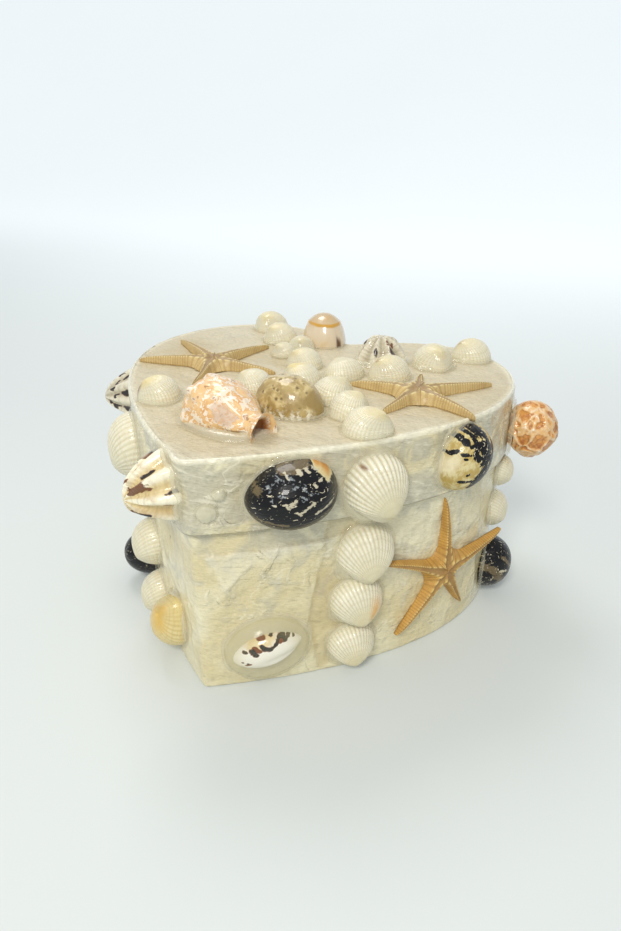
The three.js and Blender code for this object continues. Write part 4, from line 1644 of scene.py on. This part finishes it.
@dataclass
class SealedSpindle:
    """The small white shell that the clear drop holds, apex toward -y. Sizes in millimetres.

    The strokes are its natural black bow and chevrons, in shares of its half width and length.
    """

    seat: Matrix
    finish: bpy.types.Material
    width: float = 14.5
    length: float = 24.0
    height: float = 5.2
    around: int = 200
    rows: int = 150
    black: tuple[Stroke, ...] = (
        Stroke(((-0.62, -0.1), (-0.5, -0.06), (-0.4, 0.06), (-0.4, 0.2), (-0.55, 0.34), (-0.7, 0.42)), 0.075),
        Stroke(((-0.46, -0.02), (-0.36, 0.1)), 0.11),
        Stroke(((-0.84, 0.24), (-0.93, 0.34)), 0.08),
        Stroke(((-0.84, 0.57), (-0.72, 0.62), (-0.76, 0.7)), 0.075),
        Stroke(((-0.66, 0.52), (-0.44, 0.55), (-0.56, 0.7)), 0.085),
        Stroke(((-0.55, 0.86), (-0.38, 0.8)), 0.05),
        Stroke(((-0.5, -0.38), (-0.3, -0.32)), 0.1),
        Stroke(((-0.52, -0.6), (-0.48, -0.58)), 0.07),
        Stroke(((0.1, -0.62),), 0.05),
        Stroke(((0.0, -0.74),), 0.045),
    )
    brown: tuple[Stroke, ...] = (
        Stroke(((-0.6, -0.3), (-0.42, -0.2)), 0.07),
        Stroke(((-0.86, -0.12), (-0.84, 0.0)), 0.06),
        Stroke(((-0.5, 0.44), (-0.62, 0.46)), 0.08),
        Stroke(((0.16, -0.56), (0.2, -0.66)), 0.05),
    )

    def spot(self, row: int, step: int) -> Spot:
        """Places one vertex of the sealed shell."""
        share, angle = row / (self.rows - 1), tau * step / self.around
        swell = sin(pi * share ** 0.85) ** 0.6 * (0.8 + 0.2 * share)
        across = swell * cos(angle)
        x, y = self.width / 2 * across, (share - 0.5) * self.length
        lip = 0.8 * bell(across - 0.4, 0.26) * ease(share, 0.25, 0.6)
        z = self.height * swell * max(-0.15, sin(angle)) - lip * max(0.0, sin(angle))
        upper = 1.0 if sin(angle) > 0 else 0.0
        place = across, 2 * share - 1
        warm = bell(across + 0.75, 0.35) * bell(share - 0.45, 0.3)
        carried = {"mark": (ink(self.black, *place) * upper, ink(self.brown, *place) * upper, warm)}
        return Spot(self.seat @ (Vector((x, y, z + 0.8)) * MM), carried)

    def build(self) -> None:
        """Makes the sealed shell."""
        skin = Skin("mark")
        skin.add(self.rows, self.around, self.spot)
        set_piece("sealed_shell", skin.closed(), self.finish, [])


@dataclass
class GlueFilm:
    """Dried glue squeezed out round shells: low rings and a few drops, as one piece."""

    name: str
    finish: bpy.types.Material
    around: int = 64
    rows: int = 12

    def ring(self, skin: Skin, seat: Matrix, width: float, length: float, spread: float) -> None:
        """Adds a low ring of glue round a shell.

        Args:
            skin: The skin that it is added to.
            seat: The shell's place.
            width: The shell's width in millimetres.
            length: The shell's length in millimetres.
            spread: How far the glue runs out past the shell, in millimetres.
        """
        def shape(row: int, step: int) -> Spot:
            """Places one vertex of the ring's dome."""
            share, angle = row / (self.rows - 1), tau * step / self.around
            uneven = noise.noise(Vector((cos(angle) * 1.7, sin(angle) * 1.7, width + length)))
            run = spread * (0.9 + 0.9 * uneven)
            reach = min(1.0, share * 1.12)
            x = (width / 2 * 0.9 + (run + width * 0.05) * reach) * cos(angle)
            y = (length / 2 * 0.9 + (run + length * 0.05) * reach) * sin(angle)
            rise = 1.5 * (1 - reach) ** 1.2 - (0.3 if share == 1 else 0.0)
            if row == 0:
                x, y, rise = 0.0, 0.0, 1.5
            carried = {"grow": (0.0, 1 - reach, 0.0)}
            return Spot(seat @ (Vector((x, y, rise - 0.15)) * MM), carried)

        skin.add(self.rows, self.around, shape)


# ---- the arrangement -------------------------------------------------------------------------


@dataclass
class Finishes:
    """The materials, each made once."""

    pearl: bpy.types.Material = field(default_factory=lambda: PearlPaper().material())
    ivory: bpy.types.Material = field(default_factory=lambda: CockleShell("ivory_shell").material())
    straw: bpy.types.Material = field(default_factory=lambda: CockleShell(
        "straw_shell", light=tone(244, 230, 180), base=tone(232, 212, 148), groove=tone(196, 166, 96),
        yellow=tone(228, 190, 98)).material())
    black: bpy.types.Material = field(default_factory=lambda: BlackNerite().material())
    tan: bpy.types.Material = field(default_factory=lambda: TanNerite().material())
    peach: bpy.types.Material = field(default_factory=lambda: PeachShell().material())
    rosy: bpy.types.Material = field(default_factory=lambda: RosyCowry().material())
    speckled: bpy.types.Material = field(default_factory=lambda: LimpetShell("speckled_shell").material())
    blotched: bpy.types.Material = field(default_factory=lambda: LimpetShell(
        "blotched_shell", ground=tone(232, 212, 160), rib=tone(250, 242, 214), shade=tone(196, 166, 104)).material())
    starfish: bpy.types.Material = field(default_factory=lambda: DriedStarfish().material())
    golden: bpy.types.Material = field(default_factory=lambda: DriedStarfish(
        "starfish_golden", tone(208, 160, 78), tone(126, 82, 24), tone(238, 208, 126), tone(176, 136, 74),
    ).material())
    resin: bpy.types.Material = field(default_factory=lambda: ClearResin().material())
    sealed: bpy.types.Material = field(default_factory=lambda: SealedShell().material())
    glue: bpy.types.Material = field(default_factory=lambda: CraftGlue().material())


@dataclass
class Arrangement:
    """Every shell and starfish on the box, in millimetres and degrees."""

    finishes: Finishes
    prints: dict[str, list[Footprint]] = field(default_factory=lambda: {"top": [], "lid": [], "body": []})
    pieces: list[Union[Shell, Spindle, Starfish]] = field(default_factory=list)

    def on_top(self, x: float, y: float, turn: float, width: float, length: float, glue: float = 0.6) -> Matrix:
        """Takes a place on the lid's top and returns its seat."""
        self.prints["top"].append(Footprint(x, y, turn, width, length, glue))
        return top_seat(x, y, turn)

    def on_wall(self, wall: str, along: float, level: float, turn: float, width: float, length: float,
                glue: float = 1.0) -> Matrix:
        """Takes a place on the lid's or the body's wall and returns its seat."""
        self.prints[wall].append(Footprint(along, level, turn, width, length, glue))
        return (LID_WALL if wall == "lid" else BODY_WALL).seat(along, level, turn)

    def cockle_on_top(self, name: str, x: float, y: float, turn: float, width: float, length: float,
                      height: float, **looks: float | tuple[Stroke, ...]) -> None:
        """Sets a cockle on the lid's top."""
        seat = self.on_top(x, y, turn, width, length)
        ribs = 26 if width < 13 else 38
        self.pieces.append(Cockle(name, seat, width, length, height, self.finishes.ivory, Slot.IVORY, ribs=ribs, **looks))

    def cockle_on_wall(self, name: str, wall: str, along: float, level: float, turn: float, width: float,
                       length: float, height: float, **looks: float | tuple[Stroke, ...]) -> None:
        """Sets a cockle on a wall."""
        seat = self.on_wall(wall, along, level, turn, width, length)
        shell = Cockle(name, seat, width, length, height, self.finishes.ivory, Slot.IVORY, sink=1.6, **looks)
        self.pieces.append(shell)

    def chevrons(self, rings: Sequence[float], size: float) -> tuple[Stroke, ...]:
        """Lays dark chevrons in rings round a limpet's crown.

        Args:
            rings: The rings' radii, as shares of the shell.
            size: Half the thickness of a chevron's arm.

        Returns:
            The strokes.
        """
        made = []
        for ring in rings:
            count = round(17 * ring) + 3
            for index in range(count):
                angle = tau * (index + 0.37 * ring * 10) / count + 0.5 * sin(7 * index + 20 * ring)
                corner = ring * cos(angle), ring * sin(angle) - 0.05
                arms = [(corner[0] + 0.13 * cos(angle + turn), corner[1] + 0.13 * sin(angle + turn)) for turn in (0.5, -0.6)]
                arms = arms if index % 3 else arms[:1]
                made += [Stroke((corner, arm), size * (0.8 + 0.3 * sin(5 * index))) for arm in arms]
        return tuple(made)

    def set_top(self) -> None:
        """Sets the shells on the lid's top."""
        kit = self.finishes
        seat = self.on_top(-3, -40, -110, 24, 38, 1.0)
        self.pieces.append(Conch("conch", seat, 21, 37, 12.5, kit.peach, Slot.PEACH))
        seat = self.on_top(10.5, -22, -100, 19, 25, 0.8)
        self.pieces.append(Nerite("tan_nerite", seat, 19, 25, 11, kit.tan, Slot.TAN, worn=0.03))
        spot = (Stroke(((-0.25, -0.88), (0.05, -0.92)), 0.1),)
        self.cockle_on_top("cockle_corner", -34, -32, -50, 15, 15, 7.5, yellow=0.8, dark=spot)
        self.cockle_on_top("cockle_by_conch", -9.5, -10, -70, 15, 14, 6.5, yellow=0.3)
        self.cockle_on_top("cockle_rear_end", -41, 62, 0, 16, 15, 7.5, yellow=0.5)
        self.cockle_on_top("cockle_rear", -29, 48, -30, 15, 15, 7, yellow=0.5)
        self.cockle_on_top("cockle_small", -18, 30, -40, 10, 10, 4.5, yellow=0.4)
        self.cockle_on_top("cockle_small_rear", -15, 40, 20, 11, 11, 5, yellow=0.4)
        self.cockle_on_top("cockle_mid_rear", -4, 20.5, -60, 14, 14, 6.5, yellow=0.6)
        seat = self.on_top(3, 3, -90, 14, 15)
        self.pieces.append(Cockle("cockle_mid", seat, 14, 15, 6.5, kit.ivory, Slot.STRAW, yellow=1.0))
        self.cockle_on_top("cockle_cross", 14, 16.5, -120, 16, 14, 6, yellow=0.3)
        self.cockle_on_top("cockle_mid_front", 19.5, -7, 140, 15, 15, 7, yellow=0.5)
        self.cockle_on_top("cockle_front", 30, -17.5, 145, 14, 14, 7, yellow=0.6)
        self.cockle_on_top("cockle_front_end", 40, -28, 100, 15, 16, 7, yellow=0.6)
        seat = self.on_top(-10.5, 53.5, -140, 17, 21)
        self.pieces.append(Cowry("ring_cowry", seat, 18, 22, 12, kit.rosy, Slot.ROSY))
        seat = self.on_top(21, 38.5, 0, 21, 21)
        self.pieces.append(Limpet(
            "mottled_limpet", seat, 21, 21, 10, kit.speckled, Slot.SPECKLED, blunt=2.2, lumps=0.1, ribs=8,
            spikes=0.14, dark=(
                Stroke(((0.62, -0.5), (0.72, -0.42)), 0.1), Stroke(((0.04, -0.8),), 0.06),
                Stroke(((-0.84, -0.5),), 0.07), Stroke(((-0.62, -0.1), (-0.7, 0.1)), 0.05),
                Stroke(((0.6, 0.05), (0.75, 0.2)), 0.05), Stroke(((0.3, 0.7), (0.1, 0.8)), 0.06),
                Stroke(((-0.3, 0.75),), 0.07),
            ), hazy=(Stroke(((0.35, -0.4), (0.45, -0.25)), 0.07), Stroke(((-0.75, -0.3), (-0.6, -0.5)), 0.08)),
        ))
        self.cockle_on_top("cockle_arm", 30, 22.5, -45, 15, 16, 7.5, yellow=0.5, stained=0.6)
        self.cockle_on_top("cockle_arm_mid", 41, 42, 40, 16, 17, 8, yellow=0.4)
        self.cockle_on_top("cockle_arm_end", 52.5, 57, -55, 16, 16, 7.5, yellow=0.4, stained=0.4)

    def set_lid_wall(self) -> None:
        """Sets the shells on the lid's wall."""
        kit = self.finishes
        seat = self.on_wall("lid", 31.5, 74.5, 98, 21, 28, 0.5)
        self.pieces.append(Nerite(
            "black_nerite", seat, 21, 28, 12.5, kit.black, Slot.BLACK, around=180, levels=70, scatter=0.0,
            light=(
                Stroke(((0.28, 0.27), (0.18, 0.21), (0.34, 0.05)), 0.05), Stroke(((0.28, 0.46),), 0.035),
                Stroke(((0.02, 0.07), (-0.08, 0.0)), 0.045), Stroke(((-0.02, -0.04), (0.12, -0.3)), 0.05),
                Stroke(((-0.2, -0.34), (-0.18, -0.44)), 0.045), Stroke(((-0.17, -0.5), (-0.05, -0.74)), 0.045),
                Stroke(((0.86, -0.34), (0.8, -0.38)), 0.045), Stroke(((0.84, -0.48), (0.74, -0.58)), 0.03),
                Stroke(((0.86, -0.17), (0.83, -0.2)), 0.05), Stroke(((0.6, -0.55), (0.57, -0.59)), 0.04),
                Stroke(((0.54, -0.42), (0.5, -0.44)), 0.04), Stroke(((0.45, -0.72), (0.42, -0.76)), 0.025),
                Stroke(((0.9, 0.1), (0.8, 0.08)), 0.03),
            ),
            # these soft strokes place the painted sky reflection
            hazy=(
                Stroke(((0.28, 0.47), (0.5, 0.5), (0.66, 0.5), (0.77, 0.38), (0.82, 0.24), (0.74, 0.13)), 0.075),
                Stroke(((0.84, 0.03), (0.66, 0.0), (0.62, -0.16), (0.45, -0.24), (0.37, -0.3)), 0.1),
                Stroke(((0.37, -0.07), (0.3, -0.17)), 0.09), Stroke(((0.45, 0.3), (0.5, 0.2)), 0.06),
            ),
            flank=(Stroke(((0.8, 0.74), (0.5, 0.72)), 0.1), Stroke(((0.95, 0.15), (0.92, -0.4)), 0.12),
                   Stroke(((-0.2, 0.8), (-0.4, 0.3)), 0.05)),
            orange=(Stroke(((0.72, -0.78), (0.62, -0.84)), 0.17), Stroke(((0.85, -0.6), (0.8, -0.66)), 0.08)),
        ))
        chip = (Stroke(((-0.38, 0.84), (-0.3, 0.84)), 0.04),)
        self.cockle_on_wall("cockle_lid_front", "lid", 58.5, 71.5, 12, 21, 24, 8.5, yellow=0.3, ridge=0.009,
                            ribs=34, smooth=0.6, lean=0.1, taper=0.5, dark=chip)
        seat = self.on_wall("lid", 91.5, 74.5, 145, 19, 23, 0.6)
        self.pieces.append(Nerite(
            "tan_black_nerite", seat, 19, 23, 9.5, kit.black, Slot.BLACK, around=180, levels=70,
            tanned=1.0, scatter=0.2, dark=(
                Stroke(((0.9, -0.42), (0.8, -0.36)), 0.1), Stroke(((0.68, -0.3), (0.6, -0.38)), 0.05),
                Stroke(((0.8, -0.66), (0.66, -0.6), (0.57, -0.48)), 0.07), Stroke(((0.81, 0.0), (0.7, -0.08)), 0.045),
                Stroke(((0.7, 0.07), (0.66, 0.05)), 0.035), Stroke(((0.62, -0.1),), 0.03),
                Stroke(((0.52, -0.38), (0.47, -0.18), (0.34, -0.14)), 0.12), Stroke(((0.3, -0.5), (0.1, -0.3)), 0.22),
                Stroke(((0.12, -0.04), (0.03, -0.12)), 0.1), Stroke(((0.35, 0.42), (0.33, 0.38)), 0.04),
                Stroke(((0.32, 0.66), (0.22, 0.62), (0.08, 0.52)), 0.05), Stroke(((0.97, 0.1), (0.9, -0.06)), 0.04),
                Stroke(((0.6, -0.95), (0.3, -0.8), (0.0, -0.5), (-0.12, 0.0), (-0.1, 0.5)), 0.14),
                Stroke(((-0.5, -0.6), (-0.5, 0.5)), 0.45), Stroke(((0.4, -0.86), (0.6, -0.78)), 0.12),
            ),
            orange=(Stroke(((0.72, 0.98), (0.6, 0.95)), 0.13),),
        ))
        seat = self.on_wall("lid", 134, 70.5, 0, 19, 22)
        self.pieces.append(Drupe("drupe", seat, 19, 22, 17, kit.peach, Slot.PEACH))
        seat = self.on_wall("lid", -11.5, 74.7, 0, 22.5, 23.5, 0.5)
        self.pieces.append(Limpet(
            "star_limpet", seat, 22.5, 23.5, 13, kit.blotched, Slot.BLOTCHED, blunt=1.7, tanned=0.9,
            ribs=8, spikes=0.17, dark=(
                Stroke(((0.2, 0.44), (0.3, 0.55)), 0.05), Stroke(((0.84, 0.18), (0.9, 0.22)), 0.05),
                Stroke(((-0.2, 0.35), (-0.05, 0.6)), 0.05), Stroke(((0.2, -0.42), (0.5, -0.5)), 0.035),
                Stroke(((-0.62, 0.72), (-0.52, 0.78)), 0.05), Stroke(((-0.6, -0.2), (-0.75, -0.3)), 0.06),
            ),
            hazy=(
                Stroke(((0.14, 0.12), (0.3, 0.2), (0.45, 0.34)), 0.08), Stroke(((0.2, 0.06), (0.4, 0.2)), 0.05),
                Stroke(((0.38, 0.36), (0.48, 0.26)), 0.06), Stroke(((-0.68, 0.6), (-0.5, 0.74)), 0.13),
                Stroke(((-0.3, 0.1), (-0.25, 0.25)), 0.04), Stroke(((0.82, -0.18), (0.9, -0.22)), 0.04),
                Stroke(((-0.15, -0.5), (0.3, -0.55)), 0.05), Stroke(((-0.7, -0.2), (-0.6, -0.4)), 0.1),
            ),
        ))
        self.cockle_on_wall("cockle_lid_left", "lid", -55, 69.5, 0, 21, 25, 9.5, yellow=0.05, ridge=0.005)
        seat = self.on_wall("lid", -97, 73.8, 0, 22, 22, 0.4)
        self.pieces.append(Limpet("dotted_limpet", seat, 22, 22, 13.5, kit.speckled, Slot.SPECKLED,
                                  dark=self.chevrons((0.3, 0.52, 0.76), 0.045)))
        self.cockle_on_wall("cockle_lid_back_right", "lid", 168, 73, 0, 18, 19, 8)
        seat = self.on_wall("lid", 200, 74, 80, 18, 22, 0.5)
        self.pieces.append(Nerite("black_nerite_back", seat, 18, 22, 10, kit.black, Slot.BLACK, scatter=0.9))
        self.cockle_on_wall("cockle_lid_back_left", "lid", -165, 73, 0, 18, 19, 8)
        seat = self.on_wall("lid", -200, 74, 0, 19, 19, 0.5)
        self.pieces.append(Limpet("limpet_back", seat, 19, 19, 9, kit.blotched, Slot.BLOTCHED,
                                  hazy=self.chevrons((0.35, 0.65), 0.07)))

    def set_body_wall(self) -> None:
        """Sets the shells on the body's wall."""
        kit = self.finishes
        self.cockle_on_wall("cockle_front_upper", "body", 55, 46.5, 2, 20, 22, 8, yellow=0.25, ridge=0.006, taper=0.42)
        self.cockle_on_wall("cockle_front_middle", "body", 52.5, 28, 8, 18.5, 20, 7.5, yellow=0.4, orange=0.9,
                            ridge=0.006, taper=0.42)
        self.cockle_on_wall("cockle_front_lower", "body", 51, 10, 2, 17, 17.5, 7, yellow=0.4, ridge=0.006, taper=0.38)
        seat = self.on_wall("body", 21.5, 15, -76, 25, 29, 0.25)
        self.pieces.append(Drop("resin_drop", seat, 25, 29, 8, kit.resin, Slot.RESIN))
        self.cockle_on_wall("cockle_left_upper", "body", -47, 52.5, 0, 17, 17, 8, yellow=0.3)
        self.cockle_on_wall("cockle_left_middle", "body", -46, 33, 0, 17.5, 19, 9, yellow=0.3)
        self.cockle_on_wall("cockle_left_lower", "body", -42, 12.5, 0, 16, 18, 8.5, yellow=0.3)
        seat = self.on_wall("body", -22, 14.5, 150, 18, 25)
        self.pieces.append(Cockle("cockle_straw", seat, 18, 25, 9.5, kit.straw, Slot.STRAW, sink=1.6, yellow=1.0))
        seat = self.on_wall("body", -72, 12, 100, 19, 20)
        self.pieces.append(Nerite("black_nerite_left", seat, 19, 20, 12.5, kit.black, Slot.BLACK, scatter=-0.3))
        seat = self.on_wall("body", 126, 13.5, 15, 20, 23)
        self.pieces.append(Nerite(
            "black_nerite_right", seat, 20, 23, 10.5, kit.black, Slot.BLACK, scatter=0.1, levels=44, around=130,
            flank=(Stroke(((-0.9, 0.5), (-0.6, -0.6)), 0.14), Stroke(((-0.4, 0.6), (-0.3, 0.2)), 0.08)),
            light=(Stroke(((-0.7, 0.2), (-0.5, 0.1)), 0.05), Stroke(((-0.5, -0.3), (-0.3, -0.35)), 0.05)),
        ))
        self.cockle_on_wall("cockle_right_upper", "body", 127, 54, 0, 13, 13, 6)
        self.cockle_on_wall("cockle_right_lower", "body", 124, 39, 0, 14, 15, 6)
        self.cockle_on_wall("cockle_back_right", "body", 172, 34, 0, 18, 19, 7.5)
        self.cockle_on_wall("cockle_back_left", "body", -160, 34, 0, 18, 19, 7.5)

    def set_starfish(self) -> None:
        """Sets the three starfish."""
        skin = self.finishes.starfish
        seat = top_seat(-35.5, 4, 0)
        arms = ((5, 26), (76, 32), (144, 38), (192, 31), (284, 24))
        self.pieces.append(Starfish("starfish_left", seat, 7, arms, skin))
        seat = top_seat(46, 5, 0)
        arms = ((48, 31), (102, 22), (175, 26), (252, 20), (334, 25))
        self.pieces.append(Starfish("starfish_right", seat, 7, arms, skin))
        seat = BODY_WALL.seat(87.5, 30, 0)
        arms = ((10, 31), (93, 29), (156, 32), (227, 29), (301, 24))
        self.pieces.append(Starfish("starfish_front", seat, 7.5, arms, self.finishes.golden))

    def glue(self) -> None:
        """Squeezes glue out round the shells and leaves a few drops on the walls."""
        for name, surface in (("glue_on_top", "top"), ("glue_on_lid", "lid"), ("glue_on_body", "body")):
            film = GlueFilm(name, self.finishes.glue)
            skin = Skin("grow")
            for patch in self.prints[surface]:
                if surface == "top":
                    seat = top_seat(patch.across, patch.up, patch.turn)
                else:
                    wall = LID_WALL if surface == "lid" else BODY_WALL
                    seat = wall.seat(patch.across, patch.up, patch.turn)
                film.ring(skin, seat, patch.width, patch.length, 1.1 if surface == "top" else 1.6)
            if surface == "lid":
                for along, level, size in ((6.5, 70, 6.0), (10.5, 76, 3.6), (100, 66, 3)):
                    film.ring(skin, LID_WALL.seat(along, level, 20), size, size * 0.9, 0.8)
            set_piece(name, skin.closed(), self.finishes.glue, [])

    def build(self) -> None:
        """Makes the shells, the starfish, the sealed shell and the glue."""
        self.set_top()
        self.set_lid_wall()
        self.set_body_wall()
        self.set_starfish()
        for piece in self.pieces:
            piece.build()
        SealedSpindle(BODY_WALL.seat(21.5, 15, -76), self.finishes.sealed).build()
        self.glue()


# ---- the studio ------------------------------------------------------------------------------


@dataclass
class Studio:
    """Pale floor and backdrop, soft lights and the camera. Sizes are in metres."""

    eye: tuple[float, float, float] = (0.1045, -0.2069, 0.1706)
    target: tuple[float, float, float] = (0.0065, 0.0030, 0.0535)
    lens: float = 26.04
    floor_half: float = 3.0

    def floor(self) -> None:
        """Lays the floor, which rises behind the box in one soft sweep."""
        mesh = bmesh.new()
        bmesh.ops.create_grid(mesh, x_segments=40, y_segments=60, size=self.floor_half)
        for vertex in mesh.verts:
            behind = max(0.0, vertex.co.y - 0.8)
            vertex.co.z = -0.0002 + 0.25 * behind ** 2
        for face in mesh.faces:
            face.smooth = True
        data = bpy.data.meshes.new("floor")
        mesh.to_mesh(data)
        mesh.free()
        data.materials.append(PaleFloor().material())
        floor = bpy.data.objects.new("floor", data)
        bpy.context.scene.collection.objects.link(floor)

    def lamp(self, name: str, place: tuple[float, float, float], size: float, power: float,
             color: tuple[float, float, float]) -> None:
        """Hangs a soft square lamp that looks at the box.

        Args:
            name: Its name.
            place: Where it hangs.
            size: Its side.
            power: Its power in watts.
            color: Its light.
        """
        data = bpy.data.lights.new(name, "AREA")
        data.shape = "SQUARE"
        data.size = size
        data.energy = power
        data.color = color
        lamp = bpy.data.objects.new(name, data)
        lamp.location = place
        lamp.rotation_euler = (Vector((0, 0, 0.05)) - Vector(place)).to_track_quat("-Z", "Y").to_euler()
        bpy.context.scene.collection.objects.link(lamp)

    def world(self) -> None:
        """Fills the room with pale light."""
        world = bpy.data.worlds.new("room")
        world.use_nodes = True
        background = world.node_tree.nodes["Background"]
        background.inputs["Color"].default_value = (0.93, 0.96, 1.0, 1.0)
        background.inputs["Strength"].default_value = 0.58
        bpy.context.scene.world = world
        bpy.context.scene.view_settings.view_transform = "Standard"

    def camera(self) -> None:
        """Sets the camera."""
        data = bpy.data.cameras.new("camera")
        data.lens = self.lens
        data.sensor_width = 36.0
        camera = bpy.data.objects.new("camera", data)
        camera.location = self.eye
        sight = Vector(self.target) - Vector(self.eye)
        camera.rotation_euler = sight.to_track_quat("-Z", "Y").to_euler()
        bpy.context.scene.collection.objects.link(camera)
        bpy.context.scene.camera = camera

    def build(self) -> None:
        """Sets up the studio."""
        self.camera()
        self.floor()
        self.world()
        self.lamp("key", (0.12, -0.66, 0.7), 0.22, 4.4, (1.0, 0.98, 0.93))
        self.lamp("over", (-0.35, 0.3, 0.85), 0.35, 2.6, (0.97, 0.98, 1.0))


def main() -> None:
    """Builds the studio, the shells and the box."""
    logging.basicConfig(level=logging.INFO, format="%(message)s")
    Studio().build()
    finishes = Finishes()
    arrangement = Arrangement(finishes)
    arrangement.build()
    prints = arrangement.prints
    PaperBox(finishes.pearl, prints["lid"] + prints["body"], prints["top"]).build()


if __name__ == "__main__":
    main()
